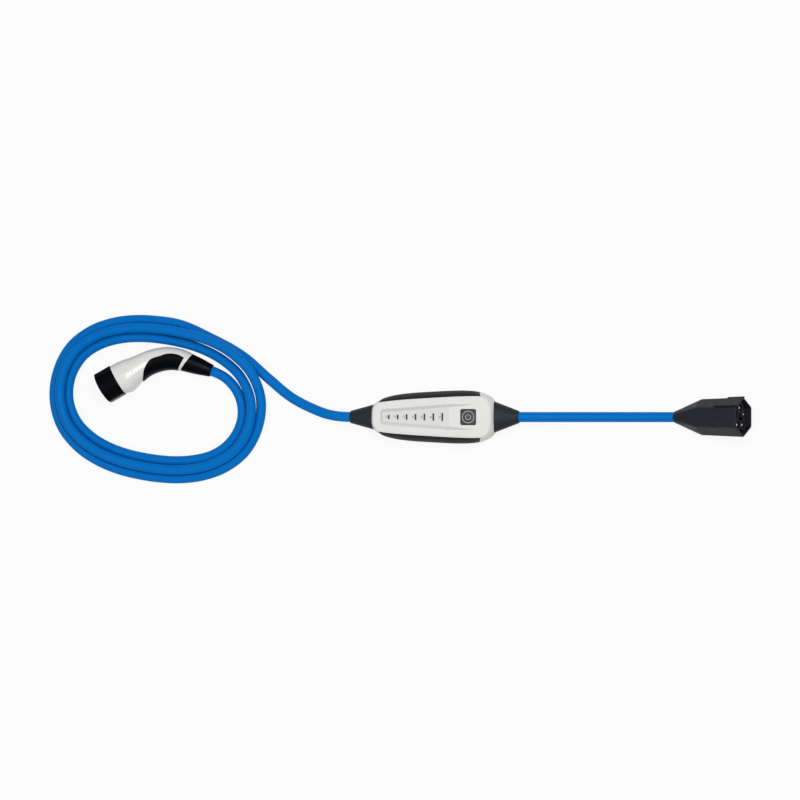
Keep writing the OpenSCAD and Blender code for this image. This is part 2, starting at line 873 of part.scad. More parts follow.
// Half of the connector's shell, between two angles round the handle
module connector_half(from, to) {
    angles = [for (j = [0 : shell_steps]) mix(from + shell_edge, to - shell_edge, j / shell_steps)];
    color(WHITE)
        at_connector()
            slab(
                [for (s = shell_stations) [for (a = angles) handle_point(s, a, 0)]],
                [for (s = shell_stations) [for (a = angles) handle_point(s, a, -connector_wall)]]
            );
}

module connector_upper_shell() {
    connector_half(0, 180);
}

module connector_lower_shell() {
    connector_half(180, 360);
}

// Stations of the grip pad, each with its reach from the underside in degrees
pad_rows = [
    [mix(shell_stations[2], shell_stations[3], 0.1), 12],
    [mix(shell_stations[2], shell_stations[3], 0.55), 66],
    [shell_stations[3], 90],
    [mix(shell_stations[3], shell_stations[4], 0.5), 98],
    [shell_stations[4], 100],
    [mix(shell_stations[4], shell_stations[5], 0.5), 106],
    [shell_stations[5], 110],
    [mix(shell_stations[5], shell_stations[6], 0.6), 110],
    [mix(shell_stations[6], shell_stations[7], 0.45), 104]
];
pad_steps = 18;
pad_fine = 3;
pad_lift = 0.35;

// Row of the pad, counted in pad_fine steps between the listed rows
function pad_row(i) =
    let (
        k = min(floor(i / pad_fine), len(pad_rows) - 2),
        u = i / pad_fine - k
    )
    [mix(pad_rows[k][0], pad_rows[k + 1][0], u), mix(pad_rows[k][1], pad_rows[k + 1][1], u)];

module grip_pad() {
    rows = [for (i = [0 : (len(pad_rows) - 1) * pad_fine]) pad_row(i)];
    function points(r, h) =
        [for (j = [0 : pad_steps]) handle_point(r[0], 180 + r[1] * (2 * j / pad_steps - 1), h)];
    color(BLACK)
        at_connector()
            slab([for (r = rows) points(r, pad_t)], [for (r = rows) points(r, pad_lift)]);
}

module connector_boot() {
    angles = [for (j = [0 : 31]) 360 * j / 32];
    color(BLACK)
        at_connector()
            difference() {
                skin([for (s = boot_stations) [for (a = angles) handle_point(s, a, 0)]]);
                cable_way(-2, 80, cable_r + seat_gap);
            }
}

// Cylinder along the cable's way into the handle, between two distances from the boot's end
module cable_way(from, to, r) {
    translate([boot_end[0], boot_end[1], 0])
        rotate([0, 0, 180 + boot_axis])
            translate([from, 0, 0])
                bar_x(r, to - from);
}

cable_seat = 54;
connector_clamp_w = 7;

module connector_clamp() {
    color(STEEL)
        at_connector()
            difference() {
                cable_way(cable_seat - connector_clamp_w, cable_seat, cable_r + clamp_t);
                cable_way(cable_seat - 2 * connector_clamp_w, cable_seat + 1, cable_r + clamp_gap + eps);
            }
}

nose_steps = 40;
nose_bulge = 2.2;
nose_flat = 1.7;
nose_n = 2.2;
spigot_l = 8;
spigot_t = 2;
shoulder = connector_wall + 0.4;

// Ring of the nose with its flat top, drawn in by inset, with its sides pushed forward by bulge
function nose_ring(x, inset, bulge) =
    [for (i = [0 : nose_steps - 1])
        let (
            a = 360 * i / nose_steps,
            top = nose_h / 2 - inset,
            y = min(top, (nose_h / 2 - inset + nose_flat) * power(cos(a), 2 / nose_n))
        )
        [x - bulge * pow(sin(a), 2), max(-top, y), (nose_w / 2 - inset) * power(sin(a), 2 / nose_n)]];

// Ring of the spigot, which lies inset under the shells' skin
function spigot_ring(x, inset) =
    let (s = mix(shell_stations[0], shell_stations[1], max(0, x) / shell_stations[1][0]))
    [for (i = [0 : nose_steps - 1])
        let (p = handle_point(s, 360 * i / nose_steps, -inset))
        [x, p[1], p[2]]];

module nose_sleeve() {
    ledge = -2 * seat_gap;
    color(BLACK)
        at_connector()
            skin([
                nose_ring(-nose_l, 0, nose_bulge),
                nose_ring(-seat_gap, 0, 0),
                spigot_ring(-seat_gap, shoulder),
                spigot_ring(spigot_l, shoulder),
                spigot_ring(spigot_l, shoulder + spigot_t),
                spigot_ring(ledge, shoulder + spigot_t),
                nose_ring(ledge, nose_wall, 0),
                nose_ring(-nose_l, nose_wall, nose_bulge)
            ], looped = true);
}

contact_wall = 1.2;
carrier_r = nose_h / 2 - nose_wall - slide_gap;
carrier_set_back = 4;
carrier_back = -0.6;
contact_set_back = 3;
contact_back = 3;
contact_front = -nose_l + carrier_set_back + contact_set_back;
power_spots = [[0, 0], [0, 16], [0, -16], [-14, 8], [-14, -8]];
signal_spots = [[11, 8], [11, -8]];

// Contact sockets with a closed back, their mouths towards the nose's face
module contacts(spots, bore_d) {
    color(COPPER)
        at_connector()
            for (p = spots)
                translate([contact_front, p[0], p[1]])
                    difference() {
                        bar_x(bore_d / 2 + contact_wall, contact_l);
                        translate([-1, 0, 0])
                            bar_x(bore_d / 2, contact_l - contact_back);
                    }
}

module power_contacts() {
    contacts(power_spots, power_bore_d);
}

module signal_contacts() {
    contacts(signal_spots, signal_bore_d);
}

module contact_carrier() {
    front = -nose_l + carrier_set_back;
    color(BLACK)
        at_connector()
            difference() {
                translate([front, 0, 0])
                    bar_x(carrier_r, carrier_back - front);
                for (p = power_spots)
                    translate([front - 1, p[0], p[1]])
                        bar_x(power_bore_d / 2 + contact_wall + seat_gap, nose_l + 2);
                for (p = signal_spots)
                    translate([front - 1, p[0], p[1]])
                        bar_x(signal_bore_d / 2 + contact_wall + seat_gap, nose_l + 2);
            }
}

connector_lead_r = 1.7;
lead_knee = [62, -2];
knee_gather = 0.45;
tip_gather = 0.28;

module connector_leads() {
    back = contact_front + contact_l + seat_gap;
    cut = cable_seat + 1;
    cut_x = boot_end[0] - cut * cos(boot_axis);
    cut_y = boot_end[1] - cut * sin(boot_axis);
    color(COPPER)
        at_connector()
            for (p = concat(power_spots, signal_spots)) {
                knee = [lead_knee[0], lead_knee[1] + knee_gather * p[0], knee_gather * p[1]];
                off = tip_gather * p;
                tip = [cut_x - off[0] * sin(boot_axis), cut_y + off[0] * cos(boot_axis), off[1]];
                start = [back, p[0], p[1]];
                sweep(
                    [start, mix(start, knee, bend_share), mix(knee, tip, 1 - bend_share), tip],
                    connector_lead_r, lead_sides
                );
            }
}

// Supply plug: its own frame has x from its tail to its face, and a flat side up
plug_x = 399;
tail_r = 9.6;
tail_lip = 2;
plug_steps = 36;
carrier_x = 78;
carrier_t = 16;
tube_back = 5;
pin_back = 8;
plug_cable_end = 36;
plug_lead_gap = 0.9;
plug_clamp_w = 5;
plug_z = plug_root_w / 2 * cos(plug_pitch) - plug_tail_l * sin(plug_pitch) + 0.2;

module at_plug() {
    translate([plug_x, 0, plug_z])
        rotate([0, -plug_pitch, 0])
            children();
}

// Half width across the plug's flats at x along its body
function plug_half(x) = mix(plug_root_w, plug_face_w, (x - plug_tail_l) / (plug_l - plug_tail_l)) / 2;

// Point round the plug's axis: round where k is 0 and hexagonal where it is 1
function plug_point(x, half, k, a) =
    let (r = half * mix(1, 1 / cos(a - 60 * floor(a / 60) - 30), k))
    [x, r * cos(a), r * sin(a)];

function plug_ring(x, half, k) =
    [for (i = [0 : plug_steps - 1]) plug_point(x, half, k, 360 * i / plug_steps)];

module plug_housing() {
    bore_r = cable_r + seat_gap;
    mid_x = plug_tail_l / 2;
    color(BLACK)
        at_plug()
            difference() {
                skin([
                    plug_ring(0, tail_r, 0),
                    plug_ring(tail_lip, tail_r + 0.6, 0),
                    plug_ring(mid_x, mix(tail_r, plug_root_w / 2, 0.52), 0.6),
                    plug_ring(plug_tail_l, plug_root_w / 2, 1),
                    plug_ring(plug_l, plug_face_w / 2, 1),
                    plug_ring(plug_l, plug_face_w / 2 - plug_wall, 1),
                    plug_ring(carrier_x, plug_half(carrier_x) - plug_wall, 1),
                    plug_ring(carrier_x, plug_half(carrier_x) - plug_wall - 2.4, 0.5),
                    plug_ring(plug_tail_l, plug_root_w / 2 - plug_wall - 3, 0),
                    plug_ring(plug_cable_end - 8, bore_r + 1, 0),
                    plug_ring(plug_cable_end - 12, bore_r, 0),
                    plug_ring(0, bore_r, 0)
                ], looped = true);
                plug_screw_holes(small_screw_r + seat_gap);
            }
}

plug_screw_turns = [0, 60, 180, 240];
plug_screw_x = carrier_x + carrier_t / 2;
plug_screw_depth = 8;

// Holes or shanks of the screws that run inwards through the plug's flats
module plug_screw_holes(r) {
    for (a = plug_screw_turns)
        rotate([a, 0, 0])
            translate([plug_screw_x, 0, plug_half(plug_screw_x) - plug_screw_depth])
                cylinder(r = r, h = 2 * plug_screw_depth);
}

module plug_screws() {
    color(STEEL)
        at_plug()
            for (a = plug_screw_turns)
                rotate([a, 0, 0])
                    translate([plug_screw_x, 0, plug_half(plug_screw_x) - plug_screw_depth + 0.5])
                        cylinder(r = small_screw_r, h = plug_screw_depth - 1);
}

key_t = 2.4;
key_start = 101;
key_slant = 17;
key_over = 3;
key_from = 5;
key_to = 55;

// Guide plate on the flat beside the top one, cut off aslant at its back and proud of the face
module plug_key() {
    cols = [for (j = [0 : 4]) mix(key_from, key_to, j / 4)];
    function row(u, h) =
        [for (a = cols)
            let (x = mix(key_start - key_slant * a / 60, plug_l + key_over, u))
            plug_point(x, plug_half(x) + h, 1, a)];
    color(BLACK)
        at_plug()
            slab([for (u = [0, 0.5, 1]) row(u, key_t)], [for (u = [0, 0.5, 1]) row(u, seat_gap)]);
}

// Where the pins stand round the axis, one of them on the +Y side
function pin_spot(i) = pin_circle_r * [cos(72 * i), sin(72 * i)];

tube_wall = 0.9;
// How much thinner a pin is at its neck, and how far the neck stands out of the carrier
pin_neck = 0.4;
pin_neck_l = 2;
pin_tip_l = 2;
pin_taper = 1.3;

module pin_carrier() {
    front = carrier_x + carrier_t;
    color(BLACK)
        at_plug()
            difference() {
                union() {
                    translate([carrier_x + seat_gap, 0, 0])
                        bar_x(plug_half(carrier_x) - plug_wall - slide_gap, carrier_t - seat_gap);
                    for (i = [0 : 4])
                        translate([front - eps, pin_spot(i)[0], pin_spot(i)[1]])
                            bar_x(tube_d / 2, plug_l - tube_back - front);
                }
                for (i = [0 : 4]) {
                    translate([front, pin_spot(i)[0], pin_spot(i)[1]])
                        bar_x(tube_d / 2 - tube_wall, plug_l);
                    translate([0, pin_spot(i)[0], pin_spot(i)[1]])
                        bar_x(pin_d / 2 - pin_neck + clamp_gap, plug_l);
                }
                plug_screw_holes(small_screw_r + seat_gap);
            }
}

pin_start = 66;

module plug_pins() {
    tip = plug_l - pin_back - pin_tip_l;
    neck_end = carrier_x + carrier_t + pin_neck_l;
    color(STEEL)
        at_plug()
            for (i = [0 : 4])
                translate([0, pin_spot(i)[0], pin_spot(i)[1]]) {
                    translate([pin_start, 0, 0])
                        bar_x(pin_d / 2 - pin_neck, neck_end - pin_start + eps);
                    translate([neck_end, 0, 0])
                        bar_x(pin_d / 2, tip - neck_end);
                    translate([tip, 0, 0])
                        rotate([0, 90, 0])
                            cylinder(r1 = pin_d / 2, r2 = pin_d / 2 - pin_taper, h = pin_tip_l);
                }
}

module plug_leads() {
    color(COPPER)
        at_plug()
            for (i = [0 : 4]) {
                near = core_r * unit(pin_spot(i));
                far = pin_spot(i);
                x0 = plug_cable_end + plug_lead_gap;
                x1 = pin_start - plug_lead_gap;
                rod([x0, near[0], near[1]], [x1, far[0], far[1]], lead_r);
            }
}

module plug_clamp() {
    color(STEEL)
        at_plug()
            translate([plug_cable_end - plug_clamp_w, 0, 0])
                difference() {
                    bar_x(cable_r + clamp_t, plug_clamp_w);
                    translate([-1, 0, 0])
                        bar_x(cable_r + clamp_gap, plug_clamp_w + 2);
                }
}

// Cables: each is swept along points chosen by hand, apart from the coil's turns
cable_sides = 10;

// The coil is an oval spiral: a lay of 1 is its outer oval and a lay of 0 its inner one
coil_middle = [-473, 30];
coil_tilt = -9;
coil_n = 2.25;
coil_inner = [150, 100];
coil_outer = [178, 129];
coil_step = 15;
// Angle, lay and height where the coil's rise changes
coil_lay = [
    [75, 1, 8.3], [330, 1, 8.3], [345, 1, 9.5], [360, 1, 14.5], [375, 0.94, 23.5], [390, 0.85, 26.2],
    [420, 0.8, 26], [450, 0.78, 25], [480, 0.68, 22.5], [510, 0.56, 20.8], [690, 0.52, 20.2],
    [705, 0.5, 21], [720, 0.42, 21.5], [735, 0.22, 16], [750, 0.06, 10], [765, 0, 8.3], [1035, 0, 8.3]
];
box_to_coil = [
    [-86.5, 0, 27], [-115, 0, 27], [-143, 0, 27], [-162, 1, 26], [-184, 5, 22], [-212, 15, 15.5],
    [-246, 32, 9.8], [-284, 62, 8.4], [-330, 101, 8.4], [-385, 131, 8.4]
];
coil_to_connector = [
    [-358, -49, 8.3], [-341, -29, 8.3], [-331.5, -5, 8.3], [-331.5, 21.5, 8.5], [-341, 45.5, 9.6],
    [-359, 65, 11.7], [-382.5, 76.7, 13.8], [-407.5, 85.2, 15.7], [-433, 93.9, 17.5]
];
box_to_plug = [
    [86.5, 0, 27], [115, 0, 27], [143, 0, 27], [166, 0, 25.4], [200, 0, 19.5], [240, 0, 12],
    [280, 0, 8.8], [315, 0, 8.3], [351.5, 0, 8.3], [377.5, 0, 8.6]
];
plug_run = [
    for (x = [0, plug_cable_end])
        [plug_x + x * cos(plug_pitch), 0, plug_z + x * sin(plug_pitch)]
];

function coil_point(t) =
    let (
        lay = lookup(t, [for (c = coil_lay) [c[0], c[1]]]),
        z = lookup(t, [for (c = coil_lay) [c[0], c[2]]]),
        half = mix(coil_inner, coil_outer, lay),
        u = abs(cos(t - coil_tilt)) / half[0],
        v = abs(sin(t - coil_tilt)) / half[1],
        r = pow(pow(u, coil_n) + pow(v, coil_n), -1 / coil_n)
    )
    [coil_middle[0] + r * cos(t), coil_middle[1] + r * sin(t), z];

vehicle_route = concat(
    box_to_coil,
    [for (t = [coil_lay[0][0] : coil_step : coil_lay[len(coil_lay) - 1][0]]) coil_point(t)],
    coil_to_connector
);
supply_route = concat(box_to_plug, plug_run);

// Round tube along a route that never stands upright
module sweep(route, r = cable_r, sides = cable_sides) {
    last = len(route) - 1;
    function ring(i) =
        let (
            ahead = unit(route[min(i + 1, last)] - route[max(i - 1, 0)]),
            side = unit(cross([0, 0, 1], ahead)),
            up = cross(ahead, side)
        )
        [for (j = [0 : sides - 1])
            let (a = 360 * (j + 0.5) / sides - 90)
            route[i] + r * (side * cos(a) + up * sin(a))];
    skin([for (i = [0 : last]) ring(i)]);
}

module vehicle_cable() {
    color(BLUE)
        sweep(vehicle_route);
}

module supply_cable() {
    color(BLUE)
        sweep(supply_route);
}

base_shell();
top_cover();
housing_seal();
rear_grip();
front_grip();
indicator_panel();
light_guides();
indicator_leds();
push_button();
button_switch();
display_board();
display_screws();
main_board();
board_screws();
terminal_blocks();
relays();
capacitors();
supply_module();
current_sensor();
load_conductors();
vehicle_leads();
supply_leads();
cable_clamps();
housing_screws();
vehicle_boot();
supply_boot();
connector_upper_shell();
connector_lower_shell();
nose_sleeve();
contact_carrier();
power_contacts();
signal_contacts();
grip_pad();
connector_clamp();
connector_leads();
connector_boot();
plug_housing();
plug_key();
pin_carrier();
plug_pins();
plug_clamp();
plug_leads();
plug_screws();
vehicle_cable();
supply_cable();
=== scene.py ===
"""Looks of a portable charging lead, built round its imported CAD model.

Sizes are in millimetres, as in the part's source, and become metres when a mesh is made.
Angles are in degrees.
"""

import json
import math

import bmesh
import bpy
import numpy as np
from mathutils import Matrix, Vector
from mathutils.geometry import delaunay_2d_cdt


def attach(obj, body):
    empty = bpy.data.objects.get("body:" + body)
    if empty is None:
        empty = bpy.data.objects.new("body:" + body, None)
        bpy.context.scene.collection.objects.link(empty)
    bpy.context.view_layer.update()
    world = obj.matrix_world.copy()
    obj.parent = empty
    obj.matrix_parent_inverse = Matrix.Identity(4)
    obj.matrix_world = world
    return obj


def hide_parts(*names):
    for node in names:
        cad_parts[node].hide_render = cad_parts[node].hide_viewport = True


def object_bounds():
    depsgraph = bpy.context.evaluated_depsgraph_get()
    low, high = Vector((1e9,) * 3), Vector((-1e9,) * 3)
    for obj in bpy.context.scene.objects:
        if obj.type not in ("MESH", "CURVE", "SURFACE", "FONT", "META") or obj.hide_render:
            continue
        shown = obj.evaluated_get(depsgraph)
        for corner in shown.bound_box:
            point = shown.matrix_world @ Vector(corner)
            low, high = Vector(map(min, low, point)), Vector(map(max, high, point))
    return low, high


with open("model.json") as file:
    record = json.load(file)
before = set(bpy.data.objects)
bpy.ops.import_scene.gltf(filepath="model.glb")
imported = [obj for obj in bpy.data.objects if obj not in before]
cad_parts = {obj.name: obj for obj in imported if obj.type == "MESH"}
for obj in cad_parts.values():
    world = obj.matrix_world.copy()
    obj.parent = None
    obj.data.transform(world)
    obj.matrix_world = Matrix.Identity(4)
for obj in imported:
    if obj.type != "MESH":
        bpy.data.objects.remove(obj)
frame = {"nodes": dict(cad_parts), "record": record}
cad_low, cad_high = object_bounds()
nodes = frame["nodes"]
MM = 0.001
NEAR = 1e-6

# Control box: outlines, shells and the beds of the grips; lifts run from -90 (bottom) to 90 (top)
HALF_L = 104.5
W_VEHICLE, W_SUPPLY = 73.0, 95.0
SIDE_MID, SIDE_GROWTH = (W_VEHICLE + W_SUPPLY) / 4, (W_SUPPLY - W_VEHICLE) / 4
OVAL_N = 3.5
BOX_H, SPLIT_Z, PARTING, WALL = 54.0, 27.0, 0.1, 3.0
TOP_W_VEHICLE, TOP_W_SUPPLY, TOP_INSET, TOP_CROWN = 41.0, 62.0, 8.0, 0.6
BASE_INSET = 8.0
GRIP_T, GRIP_VEHICLE_X, GRIP_SUPPLY_X, GRIP_SLANT = 2.4, 84.0, 77.5, 8.0
GRIP_TOP, GRIP_BOTTOM = 70.0, -44.0
CEILING_Z, CEILING_LIFT = 48.0, 52.0
FLOOR_Z, FLOOR_LIFT = 7.0, -50.0
SCREW_SPOTS = [(-HALF_L + 27, 17), (-HALF_L + 27, -17), (HALF_L - 25, 23), (HALF_L - 25, -23)]
POCKET_R, POCKET_DEPTH = 3.7, 4.6

# Recess: its edges' start and half width there, half width at the platform, corner and height
RECESS_Z = 50.6
PLATFORM_X, PLATFORM_HALF = 30.0, 16.5
RECESS_UPPER = (-85.4, 12.65, 21.35, 5.0, BOX_H)
RECESS_LOWER = (-83.2, 7.8, PLATFORM_HALF, 2.5, RECESS_Z)
GROOVE_TIP = (74.0, 20.6)

# Button with its sign, and the scale on the panel
BUTTON_X, BUTTON_W, BUTTON_R, BUTTON_GAP = 62.0, 26.0, 3.0, 0.35
BUTTON_TOP, BUTTON_LOW, BUTTON_EDGE_R, BUTTON_CORNER_SHARE = 54.4, 46.2, 0.8, 0.9
LINE_W, LINE_SUNK, LINE_PROUD = 0.8, 0.05, 0.04
RING_R, SIGN_R = 9.6, 4.2
SIGN_ARC, SIGN_BAR = (125, 415), (1.2, 3.4, 5.6)
PANEL_TOP = 51.6
GUIDE_X = [-72 + 15 * i for i in range(7)]
SCALE_MARKS = ["6", "10", "13", "16", "20", "25", "32"]
NUMBER_SIZE, NUMBER_OFFSET, NUMBER_DEPTH, NUMBER_LIFT = 4.6, 4.2, 0.03, 0.02

# Cables and boots
CABLE_R, BORE_GAP = 8.25, 0.1
BOOT_MOUTH_X, BOOT_MOUTH_R, BOOT_LIP_R, BOOT_H = 142.0, 10.5, 1.4, 36.0
VEHICLE_BOOT_W, SUPPLY_BOOT_W = 43.0, 51.0
BOOT_SEAT_GAP, BOOT_HIDDEN = 0.2, 4.0
BOOT_ROOT_N, BOOT_MOUTH_N = 2.5, 2.0
LIP_START = 15

# Vehicle connector; a station has x, y, half height, half width and the turn of its section's top
CONNECTOR_SPOT = np.array([-537.8, 61.7, 28.9])
CONNECTOR_TILT, CONNECTOR_TURN = 6.0, 29.8
NOSE_L, NOSE_H, NOSE_W, NOSE_WALL, NOSE_EDGE_R = 30.0, 52.4, 56.0, 2.6, 1.1
NOSE_N, NOSE_FLAT, NOSE_BULGE = 2.2, 1.7, 2.2
NOSE_BACK_X, NOSE_BACK_INSET, NOSE_SHOULDER_X, NOSE_BORE_X = -0.2, 0.4, -1.0, -0.4
SHELL_WALL, SHELL_SEAM = 2.6, 0.25
HANDLE_N = 2.3
SHELL_STATIONS = np.array([
    [0, 0, 26.2, 27.6, 90], [12, -1.5, 27.3, 27, 88], [38, -1, 22.3, 23.5, 80],
    [60, -1.5, 20.8, 20, 66], [78, -5.7, 20.2, 18.8, 55], [94, -13, 19, 18, 47],
    [108, -24, 17.8, 17.2, 35], [114.7, -32.4, 17.4, 16.6, 23]])
BOOT_STATIONS = np.array([
    [114.9, -32.7, 17.2, 16.4, 23], [129, -48.5, 14.2, 13.8, 32], [143, -64.2, 10.4, 10.4, 41.6]])
HANDLE_LIP_R = 1.2

# Grip pad: where a row lies along the stations, and how far it reaches round from the underside
PAD_ROWS = np.array([
    [2.1, 12], [2.55, 66], [3, 90], [3.5, 98], [4, 100], [4.5, 106], [5, 110], [5.6, 110],
    [6.45, 104]])
PAD_PROUD, PAD_EDGE_R, PAD_BED = 0.3, 0.9, 0.1
PAD_MM_PER_TURN, PAD_MM_PER_ROW = 0.33, 18

# Supply plug
PLUG_X, PLUG_L, PLUG_TAIL_L = 399.0, 126.0, 49.0
PLUG_FACE_W, PLUG_ROOT_W, PLUG_WALL, PLUG_CUP_X = 57.0, 52.0, 2.6, 93.0
PLUG_PITCH, PLUG_LIFT = 17.5, 0.2
PLUG_Z = (PLUG_ROOT_W / 2 * math.cos(math.radians(PLUG_PITCH))
          - PLUG_TAIL_L * math.sin(math.radians(PLUG_PITCH)) + PLUG_LIFT)
PLUG_SCREW_TURNS, PLUG_SCREW_X = (0, 60, 180, 240), 86.0
PLUG_SCREW_R, PLUG_SCREW_DEPTH = 1.6, 1.2
HEX_EDGE, FLAT_TURN = 34.0, 30

# Steps of the surfaces: along and round them, or round them only
GRIP_STEPS, BOOT_STEPS = (130, 56), (30, 96)
SHELL_STEPS, PAD_STEPS, HANDLE_BOOT_STEPS = (110, 72), (90, 64), (40, 72)
PLATE_STEPS, RING_STEPS, SIGN_STEPS = 40, 90, 50
CABLE_SIDES, NOSE_SIDES, PLUG_SIDES, HOLE_SIDES = 28, 160, 144, 32


def cosd(a):
    return np.cos(np.radians(a))


def sind(a):
    return np.sin(np.radians(a))


def power(v, p):
    """Power that keeps the sign of v."""
    return np.sign(v) * np.abs(v) ** p


def mix(a, b, u):
    """Value at the share u of the way from a to b."""
    return a + (b - a) * u


def unit(v):
    """Vectors scaled to the length 1."""
    return v / np.linalg.norm(v, axis=-1, keepdims=True)


def polar(r, a):
    """Points of a plane at the radius r and the turn a."""
    return np.stack([r * cosd(a), r * sind(a)], axis=-1)


def full_turn(n):
    """n even steps round a circle."""
    return 360 * np.arange(n) / n


def eased(n):
    """n + 1 steps from 0 to 1, (1 - cos)/2, which lie close together near both ends."""
    return (1 - np.cos(np.pi * np.arange(n + 1) / n)) / 2


def from_ends(v):
    """How far each value of a rising row lies from the row's nearer end."""
    return np.minimum(v - v[0], v[-1] - v)


def rounded_edge(e, r):
    """How far a rounded edge of radius r falls away at the distance e from the edge."""
    c = np.clip(1 - e / r, 0, 1)
    return r * (1 - np.sqrt(1 - c**2))


def smooth_line(knots, values, at):
    """Cubic Hermite curve through rows of values; a knot's tangent comes from its neighbours."""
    k, v = np.asarray(knots, float), np.asarray(values, float)
    slope = np.gradient(v, k, axis=0)
    i = np.clip(np.searchsorted(k, at, side="right") - 1, 0, len(k) - 2)
    h = (k[i + 1] - k[i])[:, None]
    u = (at - k[i])[:, None] / h
    return ((2 * u**3 - 3 * u**2 + 1) * v[i] + (u**3 - 2 * u**2 + u) * h * slope[i]
            + (3 * u**2 - 2 * u**3) * v[i + 1] + (u**3 - u**2) * h * slope[i + 1])


def chord_lengths(points):
    """Distance along a line of points, from 0 at its first."""
    return np.concatenate([[0], np.cumsum(np.linalg.norm(np.diff(points, axis=0), axis=1))])


# Meshes: a patch is an array of points and a list of faces

WELD, SLIVER = 2e-6, 1e-7


def grid_faces(rows, cols, wrap_rows=False, wrap_cols=True):
    """Quads between the neighbours of a grid of points; a wrapped side closes into rings."""
    a, b = np.meshgrid(np.arange(rows if wrap_rows else rows - 1),
                       np.arange(cols if wrap_cols else cols - 1), indexing="ij")
    c, d = (a + 1) % rows, (b + 1) % cols
    quads = np.stack([a * cols + b, c * cols + b, c * cols + d, a * cols + d], axis=-1)
    return quads.reshape(-1, 4).tolist()


def rings(points, looped=False, caps=True):
    """Patch between a row of rings: the last meets the first if looped, or else caps close it."""
    m, n = points.shape[:2]
    faces = grid_faces(m, n, wrap_rows=looped)
    if caps and not looped:
        faces += [list(range(n)), list(range((m - 1) * n, m * n))]
    return points.reshape(-1, 3), faces


def slab(outer, inner):
    """Patch of an outer and an inner grid of points, closed along its four edges."""
    m, n = outer.shape[:2]
    top = np.arange(m * n).reshape(m, n)
    low = top + m * n
    faces = grid_faces(m, n, wrap_cols=False)
    faces += (np.array(faces) + m * n)[:, ::-1].tolist()
    for a, b in ((top[0], low[0]), (low[-1], top[-1]),
                 (low[:, 0], top[:, 0]), (top[:, -1], low[:, -1])):
        faces += np.stack([a[:-1], a[1:], b[1:], b[:-1]], axis=-1).tolist()
    return np.concatenate([outer.reshape(-1, 3), inner.reshape(-1, 3)]), faces


def within(points, loop):
    """Which points lie inside a loop: a ray along +x crosses its edges an odd number of times."""
    a, b = loop, np.roll(loop, -1, axis=0)
    x, y = points[:, :1], points[:, 1:2]
    spans = (a[:, 1] > y) != (b[:, 1] > y)
    rise = np.where(b[:, 1] == a[:, 1], 1.0, b[:, 1] - a[:, 1])
    crossing = a[:, 0] + (y - a[:, 1]) / rise * (b[:, 0] - a[:, 0])
    return (spans & (x < crossing)).sum(axis=1) % 2 == 1


def flat_face(z, outline_loop, holes=()):
    """Patch of triangles of a flat face at the height z, between a loop and its holes' loops."""
    loops = [np.asarray(p)[:, :2] for p in (outline_loop, *holes)]
    starts = np.cumsum([0] + [len(p) for p in loops])
    edges = [start + np.stack([np.arange(len(p)), np.roll(np.arange(len(p)), -1)], axis=-1)
             for start, p in zip(starts, loops)]
    found = delaunay_2d_cdt(np.concatenate(loops).tolist(), np.concatenate(edges).tolist(),
                            [], 0, NEAR)
    flat, triangles = np.array(found[0]), np.array(found[2])
    middle = flat[triangles].mean(axis=1)
    kept = within(middle, loops[0])
    for hole in loops[1:]:
        kept &= ~within(middle, hole)
    return raised(flat, z), triangles[kept].tolist()


def raised(loop, z):
    """Flat loop of points lifted to the height z."""
    return np.column_stack([loop, np.full(len(loop), z)])


def well(loop, z0, z1):
    """Upright wall along a loop, from one height to another."""
    return rings(np.stack([raised(loop, z0), raised(loop, z1)]), caps=False)


def closed_mesh(name, patches, place=None):
    """Mesh from patches of points in millimetres, welded and facing outwards.

    place turns the points of a piece's own frame into the part's frame.
    """
    points, faces, count = [], [], 0
    for p, f in patches:
        points.append(p)
        faces += [[i + count for i in face] for face in f]
        count += len(p)
    points = np.concatenate(points)
    points = (place(points) if place else points) * MM
    mesh = bpy.data.meshes.new(name)
    mesh.from_pydata(points, [], faces)
    work = bmesh.new()
    work.from_mesh(mesh)
    bmesh.ops.remove_doubles(work, verts=work.verts, dist=WELD)
    bmesh.ops.dissolve_degenerate(work, edges=work.edges, dist=SLIVER)
    bmesh.ops.recalc_face_normals(work, faces=work.faces)
    work.to_mesh(mesh)
    work.free()
    return mesh


def linked(name, data):
    """New object in the scene."""
    obj = bpy.data.objects.new(name, data)
    bpy.context.scene.collection.objects.link(obj)
    return obj


def evaluated(obj):
    """Mesh of a text, or of an object with its modifiers applied."""
    bpy.context.view_layer.update()
    depsgraph = bpy.context.evaluated_depsgraph_get()
    return bpy.data.meshes.new_from_object(obj.evaluated_get(depsgraph))


def drilled(mesh, drill):
    """The mesh with the drill's shape taken out of it."""
    block, tool = linked("block", mesh), linked("tool", drill)
    cut = block.modifiers.new("cut", "BOOLEAN")
    cut.operation, cut.solver, cut.object = "DIFFERENCE", "EXACT", tool
    result = evaluated(block)
    for obj in (block, tool):
        bpy.data.objects.remove(obj)
    return result


def dressed(name, mesh, material, body="charger"):
    """Object with a mesh and its material, which rides a body."""
    mesh.materials.clear()
    mesh.materials.append(material)
    obj = linked(name, mesh)
    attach(obj, body)
    return obj


def piece(name, patches, slot, replaced=None, body="charger", sharp=32.0, place=None,
          material=None, holes=None):
    """Smooth object at the origin from patches, with the holes' patches taken out of it.

    Edges sharper than the angle sharp stay sharp. The slot gives the finish unless a material
    is named, and replaced is the CAD node that the piece stands for.
    """
    mesh = closed_mesh(name, patches, place)
    if holes:
        mesh = drilled(mesh, closed_mesh("drill", holes, place))
    mesh.polygons.foreach_set("use_smooth", np.ones(len(mesh.polygons), bool))
    mesh.set_sharp_from_angle(angle=math.radians(sharp))
    obj = dressed(name, mesh, material or FINISHES[slot], body)
    if replaced:
        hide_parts(replaced)
    return obj


# Materials

